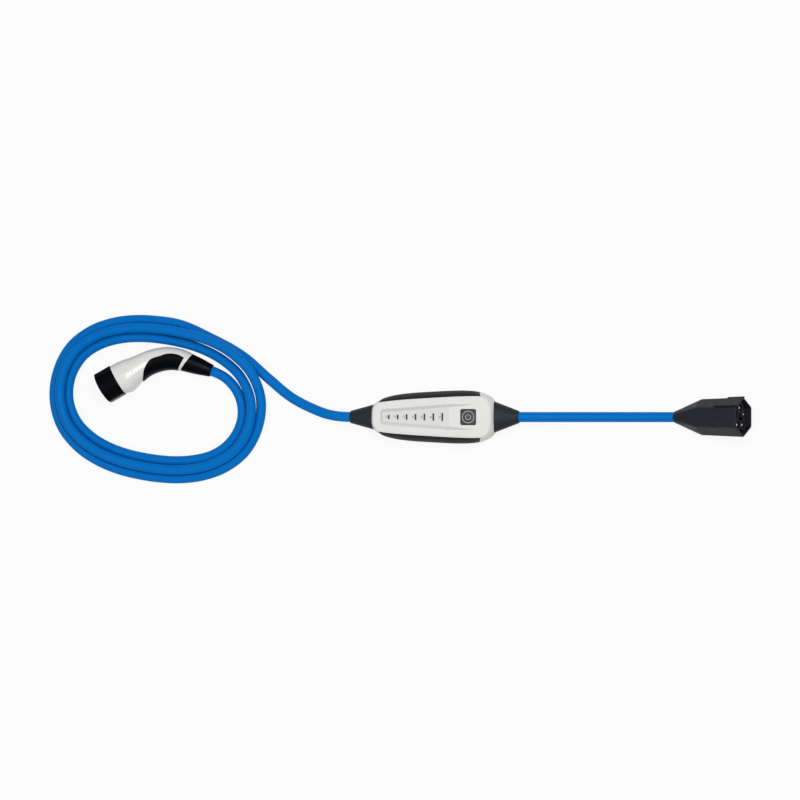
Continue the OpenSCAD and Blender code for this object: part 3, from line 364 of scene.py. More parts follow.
CLOUD_DETAIL, UNEVEN_DETAIL, GRAIN_DETAIL = 4, 3, 2
UNEVEN_PER_CLOUD = 5
NOISE_LOW, NOISE_HIGH = 0.3, 0.7
LEAST_ROUGH, COAT_ROUGH, GRAIN_STRENGTH = 0.02, 0.08, 0.6


def tint(colour):
    """Linear colour from sRGB bytes."""
    c = np.array(colour) / 255
    return np.where(c <= 0.04045, c / 12.92, ((c + 0.055) / 1.055) ** 2.4)


def add_node(tree, kind, **inputs):
    """Shader node with some inputs set; an underscore stands for the space in an input's name."""
    node = tree.nodes.new("ShaderNode" + kind)
    for key, value in inputs.items():
        node.inputs[key.replace("_", " ")].default_value = value
    return node


def finish(name, colour, rough, metal=0.0, tone=0.05, tone_size=40.0, rough_spread=0.08,
           grain=0.0, grain_size=0.6, coat=0.0, specular=0.5):
    """Moulded, drawn or plated surface: a cloudy tone, an uneven roughness and a fine grain.

    The colour is in sRGB bytes. The sizes of the clouds and of the grain, and the grain's depth,
    are in millimetres on the surface.
    """
    mat = bpy.data.materials.new(name)
    mat.use_nodes = True
    tree = mat.node_tree
    link = tree.links.new
    shader = tree.nodes["Principled BSDF"]
    for key, value in (("Metallic", metal), ("Coat Weight", coat), ("Coat Roughness", COAT_ROUGH),
                       ("Specular IOR Level", specular)):
        shader.inputs[key].default_value = value
    where = add_node(tree, "TexCoord")

    def noise(size, detail):
        tex = add_node(tree, "TexNoise", Scale=1 / MM / size, Detail=detail)
        link(where.outputs["Object"], tex.inputs["Vector"])
        return tex.outputs["Fac"]

    base = tint(colour)
    blend = add_node(tree, "Mix")
    blend.data_type = "RGBA"
    blend.inputs["A"].default_value = (*(base * (1 - tone)), 1)
    blend.inputs["B"].default_value = (*np.minimum(1.0, base * (1 + tone)), 1)
    link(noise(tone_size, CLOUD_DETAIL), blend.inputs["Factor"])
    link(blend.outputs["Result"], shader.inputs["Base Color"])
    span = add_node(tree, "MapRange", From_Min=NOISE_LOW, From_Max=NOISE_HIGH,
                    To_Min=max(LEAST_ROUGH, rough - rough_spread),
                    To_Max=min(1.0, rough + rough_spread))
    link(noise(tone_size / UNEVEN_PER_CLOUD, UNEVEN_DETAIL), span.inputs["Value"])
    link(span.outputs["Result"], shader.inputs["Roughness"])
    if grain:
        bump = add_node(tree, "Bump", Strength=GRAIN_STRENGTH, Distance=grain * MM)
        link(noise(grain_size, GRAIN_DETAIL), bump.inputs["Height"])
        link(bump.outputs["Normal"], shader.inputs["Normal"])
    return mat


FINISHES = {
    "housing_white": finish("satin_white", (226, 226, 223), 0.46, tone=0.02, grain=0.03,
                            grain_size=0.5, specular=0.3),
    "panel_grey": finish("panel_grey", (219, 218, 215), 0.42, tone=0.02, grain=0.02,
                         grain_size=0.5, specular=0.3),
    "grip_rubber": finish("grip_rubber", (31, 32, 36), 0.6, tone=0.15, tone_size=25, grain=0.05,
                          grain_size=0.7, specular=0.2),
    "seal_rubber": finish("seal_rubber", (26, 26, 27), 0.7, grain=0.03, specular=0.2),
    "boot_rubber": finish("boot_rubber", (35, 38, 45), 0.55, tone=0.12, tone_size=30, grain=0.04,
                          grain_size=0.7, specular=0.2),
    "guide_smoke": finish("guide_smoke", (66, 66, 68), 0.25, tone_size=8, specular=0.3),
    "led_white": finish("led_white", (235, 230, 205), 0.3, tone_size=4),
    "button_grey": finish("button_grey", (66, 66, 69), 0.4, grain=0.02, grain_size=0.5,
                          specular=0.2),
    "component_black": finish("component_black", (24, 24, 26), 0.5, grain=0.03, specular=0.3),
    "board_green": finish("board_green", (26, 88, 52), 0.35, tone=0.15, tone_size=6),
    "steel": finish("zinc_steel", (190, 192, 196), 0.32, metal=1.0, tone=0.08, tone_size=5,
                    grain=0.02, grain_size=0.3),
    "copper": finish("bare_copper", (205, 128, 78), 0.3, metal=1.0, tone=0.1, tone_size=5),
    "contact_silver": finish("silver_plate", (214, 213, 208), 0.22, metal=1.0, tone_size=6),
    "pin_nickel": finish("nickel_plate", (236, 234, 228), 0.34, metal=0.55, tone=0.04,
                         tone_size=6, rough_spread=0.06),
    "lead_brown": finish("lead_brown", (104, 70, 46), 0.5, tone_size=8),
    "connector_white": finish("gloss_white", (226, 225, 222), 0.26, tone=0.015, tone_size=60,
                              rough_spread=0.04, coat=0.15, specular=0.4),
    "connector_black": finish("gloss_black", (3, 5, 9), 0.34, tone=0.3, tone_size=50,
                              rough_spread=0.05, specular=0.05),
    "plug_black": finish("plug_black", (29, 32, 39), 0.48, tone=0.14, tone_size=30, grain=0.05,
                         grain_size=0.8, specular=0.14),
    "carrier_grey": finish("carrier_grey", (34, 35, 38), 0.45, tone=0.08, tone_size=10,
                           grain=0.03, specular=0.3),
    "cable_blue": finish("cable_blue", (0, 111, 194), 0.45, tone=0.06, tone_size=60, grain=0.05,
                         grain_size=1.2, specular=0.05),
}
INK = finish("dark_ink", (28, 28, 31), 0.5, tone_size=4)
MARK = finish("pale_mark", (196, 197, 198), 0.45, tone_size=4)
# Painted shade: a darker grey for the sloping walls of the recess, in place of the shade that
# falls there
RECESS_SHADE_PAINT = finish("painted_recess_shade", (214, 213, 210), 0.6, tone=0.02, grain=0.03, grain_size=0.7,
                     specular=0.2)
BLACK_STEEL = finish("black_steel", (12, 12, 14), 0.4, tone_size=3, specular=0.2)

# Camera: a long lens that looks down on the lead, tilted towards its plug; scale is mm per pixel

VIEW_TILT, VIEW_SCALE = 12.5, 1.65
VIEW_MIDDLE, VIEW_DISTANCE = (-63.0, 28.0), 12000.0
FRAME_PX, SENSOR_W = 800, 36.0

view_right = np.array([cosd(VIEW_TILT), 0, -sind(VIEW_TILT)])
view_up = np.array([0.0, 1.0, 0.0])
view_back = np.array([sind(VIEW_TILT), 0, cosd(VIEW_TILT)])
spot = view_right * VIEW_MIDDLE[0] + view_up * VIEW_MIDDLE[1] + view_back * VIEW_DISTANCE
pose = np.eye(4)
pose[:3] = np.column_stack([view_right, view_up, view_back, spot * MM])
camera = linked("camera", bpy.data.cameras.new("camera"))
camera.data.sensor_width = SENSOR_W
camera.data.lens = SENSOR_W * VIEW_DISTANCE / (VIEW_SCALE * FRAME_PX)
camera.data.clip_start, camera.data.clip_end = 0.1, 100.0
camera.matrix_world = Matrix(pose.tolist())
bpy.context.scene.camera = camera


# Frames of the two ends


def at_connector(p):
    """Connector's own frame, x from nose to cable, y to its top, turned into the part's frame."""
    a, b = CONNECTOR_TILT, CONNECTOR_TURN
    x = p[..., 0] * cosd(a) + p[..., 2] * sind(a)
    z = p[..., 2] * cosd(a) - p[..., 0] * sind(a)
    y = p[..., 1]
    turned = np.stack([x * cosd(b) - y * sind(b), x * sind(b) + y * cosd(b), z], axis=-1)
    return CONNECTOR_SPOT + turned


def at_plug(p):
    """Plug's own frame, x from tail to face and z up, pitched and set down on its tail's root."""
    x, y, z = p[..., 0], p[..., 1], p[..., 2]
    return np.stack([PLUG_X + x * cosd(PLUG_PITCH) - z * sind(PLUG_PITCH), y,
                     PLUG_Z + x * sind(PLUG_PITCH) + z * cosd(PLUG_PITCH)], axis=-1)


# Cords: routes of their centre lines; a row of the lay has turn, share of the way out and height

COIL_MIDDLE, COIL_TILT, COIL_N, COIL_STEP = (-475.5, 29.5), -9, 2.25, 15
COIL_INNER, COIL_OUTER = np.array([154, 100]), np.array([178, 129])
COIL_LAY = np.array([
    [75, 1, 8.3], [330, 1, 8.3], [345, 1, 9], [360, 0.99, 12.5], [375, 0.9, 23], [390, 0.76, 26.4],
    [405, 0.67, 26.2], [420, 0.6, 25.4], [435, 0.57, 24], [450, 0.55, 22.6], [480, 0.53, 21.2],
    [510, 0.51, 21], [540, 0.48, 20.9], [600, 0.48, 20.8], [640, 0.5, 20.4], [690, 0.52, 20.4],
    [705, 0.47, 21], [720, 0.32, 19.5], [735, 0.12, 14], [750, 0.02, 9.5], [765, 0, 8.3],
    [1035, 0, 8.3]])
ROUTE_START = 86.5
BOX_TO_COIL = [
    [-ROUTE_START, 0, 27], [-115, 0, 27], [-143, 0, 27], [-162, 1, 26], [-184, 5, 22],
    [-212, 15, 15.5], [-246, 32, 9.8], [-284, 62, 8.4], [-330, 101, 8.4], [-385, 131, 8.4]]
COIL_TO_CONNECTOR = [
    [-358, -49, 8.3], [-341, -29, 8.3], [-331.5, -5, 8.3], [-331.5, 21.5, 8.5], [-341, 45.5, 9.6],
    [-359, 65, 11.7], [-382.5, 76.7, 13.8], [-407.5, 85.2, 15.7], [-433, 93.9, 17.5]]
BOX_TO_PLUG = [
    [ROUTE_START, 0, 27], [115, 0, 27], [143, 0, 27], [166, 0, 25.4], [200, 0, 19.5], [240, 0, 12],
    [280, 0, 8.8], [315, 0, 8.3], [351.5, 0, 8.3], [377.5, 0, 8.6]]
PLUG_RUN = 36.0
IN_CONNECTOR, IN_PLUG = 47.0, 30.0
PATH_SAMPLES, PATH_STEP = 6000, 4.0


def coil_turns():
    """Oval spiral: r = ((|cos|/a)^n + (|sin|/b)^n)^(-1/n), half-axes and height set by the lay."""
    t = np.arange(COIL_LAY[0, 0], COIL_LAY[-1, 0] + 1, COIL_STEP)
    lay = np.interp(t, COIL_LAY[:, 0], COIL_LAY[:, 1])
    z = np.interp(t, COIL_LAY[:, 0], COIL_LAY[:, 2])
    half = mix(COIL_INNER, COIL_OUTER, lay[:, None])
    u = np.abs(cosd(t - COIL_TILT)) / half[:, 0]
    v = np.abs(sind(t - COIL_TILT)) / half[:, 1]
    r = (u**COIL_N + v**COIL_N) ** (-1 / COIL_N)
    return np.column_stack([COIL_MIDDLE + polar(r, t), z])


def cable_path(route, start, end):
    """Smooth curve through a route's points, cut start after its first and end before its last."""
    knots = chord_lengths(route)
    dense = smooth_line(knots, route, np.linspace(0, knots[-1], PATH_SAMPLES))
    s = chord_lengths(dense)
    at = np.linspace(start, s[-1] - end, int((s[-1] - start - end) / PATH_STEP) + 1)
    return np.stack([np.interp(at, s, dense[:, k]) for k in range(3)], axis=-1)


def cable(name, path, node):
    """Round tube: a circle carried along the path, square to it."""
    ahead = unit(np.gradient(path, axis=0))
    side = unit(np.cross([0, 0, 1], ahead))
    up = np.cross(ahead, side)
    a = full_turn(CABLE_SIDES)[:, None]
    tube = path[:, None] + CABLE_R * (side[:, None] * cosd(a) + up[:, None] * sind(a))
    return piece(name, [rings(tube)], "cable_blue", node, sharp=60)


vehicle_route = np.concatenate([BOX_TO_COIL, coil_turns(), COIL_TO_CONNECTOR])
plug_run = at_plug(np.array([[0.0, 0, 0], [PLUG_RUN, 0, 0]]))
supply_route = np.concatenate([BOX_TO_PLUG, plug_run])
in_box = BOOT_MOUTH_X - BOOT_HIDDEN - ROUTE_START
vehicle_path = cable_path(vehicle_route, in_box, IN_CONNECTOR)
supply_path = cable_path(supply_route, in_box, IN_PLUG)
vehicle_cord = cable("vehicle_cord", vehicle_path, "vehicle_cable")
supply_cord = cable("supply_cord", supply_path, "supply_cable")


# Control box


def outline(t):
    """Widest outline: x = L cos^(2/n) t, y = w(x) sin^(2/n) t, with a width that grows along x."""
    x = HALF_L * power(cosd(t), 2 / OVAL_N)
    half = SIDE_MID + SIDE_GROWTH / HALF_L * x
    return np.stack([x, half * power(sind(t), 2 / OVAL_N)], axis=-1)


def turn_at(x):
    """Turn at which the widest outline reaches x."""
    return float(np.degrees(np.arccos((x / HALF_L) ** (OVAL_N / 2))))


SUPPLY_TURN, VEHICLE_TURN = turn_at(GRIP_SUPPLY_X), 180 - turn_at(GRIP_VEHICLE_X)
SUPPLY_CORNER, VEHICLE_CORNER = outline(np.array([SUPPLY_TURN, VEHICLE_TURN]))


def top_outline(t):
    """Flat top's outline: the widest one drawn in, with crowned sides between the grips' ends."""
    p = outline(t)
    x, y = p[..., 0], p[..., 1]
    x0, x1 = -GRIP_VEHICLE_X - GRIP_SLANT, GRIP_SUPPLY_X + GRIP_SLANT
    u = (x + GRIP_VEHICLE_X) / (GRIP_VEHICLE_X + GRIP_SUPPLY_X)
    k1 = (HALF_L - TOP_INSET - x1) / (HALF_L - GRIP_SUPPLY_X)
    k0 = (HALF_L - TOP_INSET + x0) / (HALF_L - GRIP_VEHICLE_X)
    side = mix(TOP_W_VEHICLE, TOP_W_SUPPLY, u) / 2 + 4 * TOP_CROWN * u * (1 - u)
    qx = np.where(u > 1, x1 + (x - GRIP_SUPPLY_X) * k1,
                  np.where(u < 0, x0 + (x + GRIP_VEHICLE_X) * k0, mix(x0, x1, u)))
    qy = np.where(u > 1, y * TOP_W_SUPPLY / 2 / SUPPLY_CORNER[1],
                  np.where(u < 0, y * TOP_W_VEHICLE / 2 / VEHICLE_CORNER[1], np.sign(y) * side))
    return np.stack([qx, qy], axis=-1)


def base_outline(t):
    """Flat bottom's outline: the widest outline scaled down."""
    return outline(t) * np.array([1 - BASE_INSET / HALF_L, 1 - BASE_INSET / SIDE_MID])


def skin(t, lift, depth):
    """Housing skin: xy = p + (q - p)(1 - cos lift), z = split + rise sin lift, sunk by depth.

    p is on the widest outline and q on the top's or the bottom's.
    """
    t, lift, depth = np.broadcast_arrays(*(np.asarray(v, float) for v in (t, lift, depth)))
    p = outline(t)
    q = np.where((lift >= 0)[..., None], top_outline(t), base_outline(t))
    rise = np.where(lift >= 0, BOX_H - SPLIT_Z, SPLIT_Z)
    run = np.linalg.norm(p - q, axis=-1)
    n = unit(np.stack([cosd(lift) / run, sind(lift) / rise], axis=-1))
    xy = p + (q - p) * (1 - cosd(lift) + n[..., 0] * depth / run)[..., None]
    z = SPLIT_Z + rise * sind(lift) - n[..., 1] * depth
    return np.concatenate([xy, z[..., None]], axis=-1)


# Rings round the skin: steps at the ends and along the sides, and the gap at the beds' edges
END_STEPS, SIDE_STEPS = 56, 90
BED_TURN, BED_LIFT = 1.0, 1.5
COVER_ROWS, BASE_ROWS = (26, 14), (20, 18)

supply_turns = np.linspace(-SUPPLY_TURN, SUPPLY_TURN, END_STEPS)
vehicle_turns = np.linspace(VEHICLE_TURN, 360 - VEHICLE_TURN, END_STEPS)
side_turns = np.linspace(SUPPLY_TURN + BED_TURN, VEHICLE_TURN - BED_TURN, SIDE_STEPS)
contour = np.concatenate([supply_turns, side_turns, vehicle_turns, 360 - side_turns[::-1]])
gripped = np.tile(np.repeat([0, 1], [END_STEPS, SIDE_STEPS]), 2)


def skin_rings(lifts, depth, sunk):
    """Rings of the skin, sunk by the grip's thickness under a grip."""
    return skin(contour, np.asarray(lifts, float)[:, None], depth + gripped * sunk * GRIP_T)


def at_height(ring, z):
    """The same rings laid flat at the height z."""
    flat = np.array(ring)
    flat[..., 2] = z
    return flat


def half_shell(side, grip_lift, rows, inner_lift, inner_z):
    """Rings of a shell: from the edge of its inner face over its rim to its flat outer face.

    The side is 1 for the cover and -1 for the base.
    """
    under_grip = skin_rings(np.linspace(0, grip_lift, rows[0]), 0, 1)
    beyond = skin_rings(np.linspace(grip_lift + side * BED_LIFT, side * 90, rows[1]), 0, 0)
    rim = SPLIT_Z + side * PARTING
    under_grip[0] = at_height(under_grip[0], rim)
    inside = at_height(skin_rings([0], WALL, 1), rim)
    inner = at_height(skin_rings([inner_lift], WALL + GRIP_T, 0), inner_z)
    return np.concatenate([inner, inside, under_grip, beyond])


def circle(x, y, r, n=40):
    """Loop of a circle."""
    return [x, y] + polar(r, full_turn(n))


def rounded_square(w, r, n=10):
    """Loop of a square with round corners."""
    a = np.concatenate([np.linspace(90 * k, 90 * k + 90, n) for k in range(4)])
    centre = np.repeat([[1, 1], [-1, 1], [-1, -1], [1, -1]], n, axis=0) * (w / 2 - r)
    return centre + polar(r, a)


def bent(before, corner, after, n=9):
    """Round corner: the curve (1-s)^2 before + 2s(1-s) corner + s^2 after."""
    s = np.linspace(0, 1, n)[:, None]
    before, corner, after = np.array(before), np.array(corner), np.array(after)
    return (1 - s) ** 2 * before + 2 * s * (1 - s) * corner + s**2 * after


def recess_loops():
    """Upper and lower edge of the tapered recess, point for point.

    Two grooves run out beside the button's platform, and their tips lie on both edges.
    """
    def half(x0, half_0, half_1, r, z):
        slope = (half_1 - half_0) / (PLATFORM_X - x0)
        corner = bent([x0, half_0 - r], [x0, half_0], [x0 + r, half_0 + slope * r])
        side = [[PLATFORM_X, half_1], GROOVE_TIP, [PLATFORM_X, PLATFORM_HALF]]
        loop = raised(np.concatenate([corner, side]), z)
        loop[-2, 2] = BOX_H
        return loop

    flip = np.array([1, -1, 1])
    halves = half(*RECESS_UPPER), half(*RECESS_LOWER)
    return [np.concatenate([h, h[::-1] * flip]) for h in halves]


def housing_cover():
    """Upper shell: skin rings, and a flat top in which are the recess and the button's opening."""
    shell = half_shell(1, GRIP_TOP, COVER_ROWS, CEILING_LIFT, CEILING_Z)
    upper, lower = recess_loops()
    opening = rounded_square(BUTTON_W + 2 * BUTTON_GAP, BUTTON_R + BUTTON_GAP) + [BUTTON_X, 0]
    floor = lower[np.abs(lower[:, 2] - RECESS_Z) < NEAR]
    apart = np.linalg.norm(np.diff(floor, axis=0), axis=1) > NEAR
    floor = floor[np.concatenate([[True], apart])]
    return [rings(shell, caps=False),
            flat_face(BOX_H, shell[-1], [upper, opening]),
            rings(np.stack([upper, lower]), caps=False),
            (floor, [list(range(len(floor)))]),
            well(opening, CEILING_Z, BOX_H),
            flat_face(CEILING_Z, shell[0], [opening])]


def housing_base():
    """Lower shell: skin rings, and a flat bottom with its screws' round pockets."""
    shell = half_shell(-1, GRIP_BOTTOM, BASE_ROWS, FLOOR_LIFT, FLOOR_Z)
    pockets = [circle(x, y, POCKET_R) for x, y in SCREW_SPOTS]
    return [rings(shell, caps=False), flat_face(0.0, shell[-1], pockets),
            flat_face(FLOOR_Z, shell[0]),
            *[well(p, 0.0, POCKET_DEPTH) for p in pockets],
            *[flat_face(POCKET_DEPTH, p) for p in pockets]]


# Grips: clearances in the bed, how proud they stand, and millimetres per degree near their edges
GRIP_TURN_GAP, GRIP_LOW_GAP, GRIP_HIGH_GAP, GRIP_BED_GAP = 0.6, 1.2, 1.0, 0.15
GRIP_EDGE_R, GRIP_PROUD = 0.9, 0.1
MM_PER_TURN, MM_PER_LIFT = 2.0, 0.5


def side_grip(side):
    """Rubber grip: the housing's skin between two turns and two lifts, its edges rounded off."""
    along, across = eased(GRIP_STEPS[0]), eased(GRIP_STEPS[1])[:, None]
    t = mix(SUPPLY_TURN + GRIP_TURN_GAP, VEHICLE_TURN - GRIP_TURN_GAP, along)
    lift = mix(GRIP_BOTTOM + GRIP_LOW_GAP, GRIP_TOP - GRIP_HIGH_GAP, across)
    e = np.minimum(from_ends(t) * MM_PER_TURN, from_ends(lift) * MM_PER_LIFT)
    t = t if side > 0 else 360 - t
    return [slab(skin(t, lift, rounded_edge(e, GRIP_EDGE_R) - GRIP_PROUD),
                 skin(t, lift, GRIP_T - GRIP_BED_GAP))]


def button_cap():
    """Square cap: rounded squares stacked from foot to top, drawn in along a quarter round."""
    a = np.linspace(0, 90, 7)
    inset = np.concatenate([[0], BUTTON_EDGE_R * (1 - cosd(a))])
    z = np.concatenate([[BUTTON_LOW], BUTTON_TOP - BUTTON_EDGE_R + BUTTON_EDGE_R * sind(a)])
    squares = [rounded_square(BUTTON_W - 2 * i, BUTTON_R - i * BUTTON_CORNER_SHARE)
               for i in inset]
    return [rings(np.stack([raised(p + [BUTTON_X, 0], h) for p, h in zip(squares, z)]))]


def line_mark(points, closed=False):
    """Thin raised line on the button: a flat rectangle carried along a path in the plane."""
    p = np.asarray(points, float)
    around = np.roll(p, -1, axis=0) - np.roll(p, 1, axis=0)
    ahead = unit(around if closed else np.gradient(p, axis=0))
    side = np.stack([-ahead[:, 1], ahead[:, 0]], axis=-1) * LINE_W / 2
    low, high = BUTTON_TOP - LINE_SUNK, BUTTON_TOP + LINE_PROUD
    section = np.stack([raised(p - side, low), raised(p + side, low),
                        raised(p + side, high), raised(p - side, high)], axis=1)
    return rings(section, looped=closed)


def button_mark():
    """Ring with a standby sign in it: an arc that is open at its top, and a short bar."""
    centre = np.array([BUTTON_X, 0])
    sign = centre + polar(SIGN_R, np.linspace(*SIGN_ARC, SIGN_STEPS))
    bar = centre + np.array([[0, y] for y in SIGN_BAR])
    ring = circle(BUTTON_X, 0, RING_R, RING_STEPS)
    return [line_mark(ring, closed=True), line_mark(sign), line_mark(bar)]


UPRIGHT, LEVEL = 0.02, 0.98


def paint_recess_shade(cover):
    """Painted shade: the sloping walls of the recess, between floor and flat top, get a darker
    grey.
    """
    count = len(cover.data.polygons)
    middle, facing = np.empty(count * 3, np.float32), np.empty(count * 3, np.float32)
    cover.data.polygons.foreach_get("center", middle)
    cover.data.polygons.foreach_get("normal", facing)
    middle, rise = middle.reshape(-1, 3) / MM, facing.reshape(-1, 3)[:, 2]
    sloping = (rise > UPRIGHT) & (rise < LEVEL)
    wall = within(middle, recess_loops()[0]) & (middle[:, 2] > RECESS_Z) & sloping
    cover.data.materials.append(RECESS_SHADE_PAINT)
    cover.data.polygons.foreach_set("material_index", wall.astype(np.int32))


# The cover's recess walls get painted shade in a darker grey
paint_recess_shade(piece("cover_shell", housing_cover(), "housing_white", "top_cover", sharp=20))
piece("base_tray", housing_base(), "housing_white", "base_shell")
piece("grip_rear", side_grip(1), "grip_rubber", "rear_grip", sharp=50)
piece("grip_front", side_grip(-1), "grip_rubber", "front_grip", sharp=50)
piece("button_cap", button_cap(), "button_grey", "push_button", body="button")
piece("button_mark", button_mark(), "led_white", body="button", material=MARK)


def scale_number(text, x):
    """Small plain number beside the light bar at x, turned to be read along the box."""
    curve = bpy.data.curves.new("number", "FONT")
    curve.body = text
    curve.size, curve.extrude = NUMBER_SIZE, NUMBER_DEPTH
    curve.align_x = curve.align_y = "CENTER"
    shape = linked("number", curve)
    mesh = evaluated(shape)
    bpy.data.objects.remove(shape)
    p = np.empty(len(mesh.vertices) * 3, np.float32)
    mesh.vertices.foreach_get("co", p)
    p = p.reshape(-1, 3)
    turned = np.stack([x - NUMBER_OFFSET - p[:, 1], p[:, 0], PANEL_TOP + NUMBER_LIFT + p[:, 2]],
                      axis=-1) * MM
    mesh.vertices.foreach_set("co", turned.ravel())
    dressed("scale_" + text, mesh, INK)


for mark, guide_x in zip(SCALE_MARKS, GUIDE_X):
    scale_number(mark, guide_x)


def end_x(y, z, corner_x, corner_y, top_w):
    """Where the housing's rounded end lies beside the cable, at y across and z up."""
    up = z >= SPLIT_Z
    v = np.clip(np.abs(z - SPLIT_Z) / np.where(up, BOX_H - SPLIT_Z, SPLIT_Z), 0, 1)
    h = 1 - np.sqrt(1 - v**2)
    shrink = np.where(up, 1 - top_w / 2 / corner_y, BASE_INSET / SIDE_MID)
    b = SIDE_MID + np.sign(corner_x) * SIDE_GROWTH
    x = HALF_L * (1 - (np.abs(y) / (1 - h * shrink) / b) ** OVAL_N) ** (1 / OVAL_N)
    k = (HALF_L - TOP_INSET - abs(corner_x) - GRIP_SLANT) / (HALF_L - abs(corner_x))
    back = np.where(up, (x - abs(corner_x)) * (1 - k) - GRIP_SLANT, x * BASE_INSET / HALF_L)
    return x - h * back


def cable_boot(half_w, corner, top_w):
    """Boot: superellipse rings that shrink from the box's end to the cable, with a rounded lip."""
    s = np.linspace(0, 1, BOOT_STEPS[0])[:, None]
    a = full_turn(BOOT_STEPS[1])
    n = mix(BOOT_ROOT_N, BOOT_MOUTH_N, s)
    y = mix(half_w, BOOT_MOUTH_R, s) * power(cosd(a), 2 / n)
    z = SPLIT_Z + mix(BOOT_H / 2, BOOT_MOUTH_R, s) * power(sind(a), 2 / n)
    seat = end_x(y[0], z[0], corner[0], corner[1], top_w) + BOOT_SEAT_GAP
    lip_x = BOOT_MOUTH_X - BOOT_LIP_R
    body = np.stack([mix(seat, lip_x, s), y, z], axis=-1)

    def ring(x, r):
        return np.column_stack([np.full(len(a), x), polar(r, a) + [0, SPLIT_Z]])

    lip = [ring(lip_x + BOOT_LIP_R * sind(v), BOOT_MOUTH_R - BOOT_LIP_R * (1 - cosd(v)))
           for v in np.linspace(LIP_START, 90, 6)]
    bore = [ring(x, CABLE_R + BORE_GAP) for x in (BOOT_MOUTH_X, BOOT_MOUTH_X - 2 * BOOT_HIDDEN)]
    return [rings(np.concatenate([body, lip, bore]))]


def half_turn(p):
    """Points turned half round the upright axis, from the supply end to the vehicle end."""
    return p * np.array([-1, -1, 1])


supply_boot = cable_boot(SUPPLY_BOOT_W / 2, SUPPLY_CORNER, TOP_W_SUPPLY)
vehicle_boot = cable_boot(VEHICLE_BOOT_W / 2, VEHICLE_CORNER, TOP_W_VEHICLE)
piece("boot_supply", supply_boot, "boot_rubber", "supply_boot", sharp=40)
piece("boot_vehicle", vehicle_boot, "boot_rubber", "vehicle_boot", sharp=40, place=half_turn)


# Vehicle connector


def handle_section(stations, a, h):
    """Superellipse sections raised by h: cos^(2/n) towards a section's top, sin^(2/n) along z."""
    s = stations[:, None]
    a, h = np.asarray(a, float), np.asarray(h, float)
    up = (s[..., 2] + h) * power(cosd(a), 2 / HANDLE_N)
    return np.stack([s[..., 0] + up * cosd(s[..., 4]), s[..., 1] + up * sind(s[..., 4]),
                     (s[..., 3] + h) * power(sind(a), 2 / HANDLE_N)], axis=-1)


def fine_stations(stations, count):
    """Smooth row of stations, evenly spaced along the listed ones."""
    knots = chord_lengths(stations[:, :2])
    return smooth_line(knots, stations, np.linspace(0, knots[-1], count))


shell_fine = fine_stations(SHELL_STATIONS, SHELL_STEPS[0])


def connector_half(low, high):
    """Half of the handle's shell between two turns round it."""
    a = np.linspace(low + SHELL_SEAM, high - SHELL_SEAM, SHELL_STEPS[1])
    return [slab(handle_section(shell_fine, a, 0), handle_section(shell_fine, a, -SHELL_WALL))]


def grip_pad():
    """Soft pad on the handle: rows that reach round from its underside, with a rounded edge."""
    rows = mix(PAD_ROWS[0, 0], PAD_ROWS[-1, 0], eased(PAD_STEPS[0]))
    reach = smooth_line(PAD_ROWS[:, 0], PAD_ROWS[:, 1:], rows)
    v = 2 * eased(PAD_STEPS[1]) - 1
    e = np.minimum(reach * (1 - np.abs(v)) * PAD_MM_PER_TURN,
                   from_ends(rows)[:, None] * PAD_MM_PER_ROW)
    lift = PAD_PROUD + PAD_EDGE_R - rounded_edge(e, PAD_EDGE_R)
    a = 180 + reach * v
    knots = chord_lengths(SHELL_STATIONS[:, :2])
    at = np.interp(rows, np.arange(len(knots)), knots)
    stations = smooth_line(knots, SHELL_STATIONS, at)
    return [slab(handle_section(stations, a, lift), handle_section(stations, a, PAD_BED))]


def connector_boot():
    """Boot behind the handle: sections that shrink to the cable, with a rounded end."""
    a = full_turn(HANDLE_BOOT_STEPS[1])
    body = handle_section(fine_stations(BOOT_STATIONS, HANDLE_BOOT_STEPS[0]), a, 0)
    turn_in = np.linspace(LIP_START, 90, 5)
    end = np.repeat(BOOT_STATIONS[-1:], len(turn_in), axis=0)
    ahead = np.array([sind(end[0, 4]), -cosd(end[0, 4])])
    end[:, :2] += ahead * HANDLE_LIP_R * sind(turn_in)[:, None]
    lip = handle_section(end, a, (-HANDLE_LIP_R * (1 - cosd(turn_in)))[:, None])
    return [rings(np.concatenate([body, lip]))]


def nose_rings(x, inset, bulge):
    """Superellipse rings with a flat top and bottom, their sides pushed forward by bulge."""
    x, inset, bulge = (np.asarray(v, float)[:, None] for v in (x, inset, bulge))
    a = full_turn(NOSE_SIDES)
    top = NOSE_H / 2 - inset
    y = np.clip((top + NOSE_FLAT) * power(cosd(a), 2 / NOSE_N), -top, top)
    z = (NOSE_W / 2 - inset) * power(sind(a), 2 / NOSE_N)
    return np.stack([x - bulge * sind(a) ** 2, y, z], axis=-1)


def nose_sleeve():
    """Sleeve round the contacts, its front edge rounded outside and inside."""
    a = np.linspace(0, 90, 6)
    r, front = NOSE_EDGE_R, -NOSE_L + NOSE_EDGE_R
    along = np.linspace(NOSE_SHOULDER_X, front, 16)
    outer_x = np.concatenate([[NOSE_BACK_X], along, front - r * sind(a)[1:]])
    outer_in = np.concatenate([[NOSE_BACK_INSET], np.zeros(len(along)), r * (1 - cosd(a))[1:]])
    inner_x = np.concatenate([front - r * cosd(a), [NOSE_BORE_X]])
    inner_in = np.concatenate([NOSE_WALL - r * (1 - sind(a)), [NOSE_WALL]])
    x, inset = np.concatenate([outer_x, inner_x]), np.concatenate([outer_in, inner_in])
    bulge = NOSE_BULGE * np.clip(-x / NOSE_L, 0, 1)
    return [rings(nose_rings(x, inset, bulge), looped=True)]


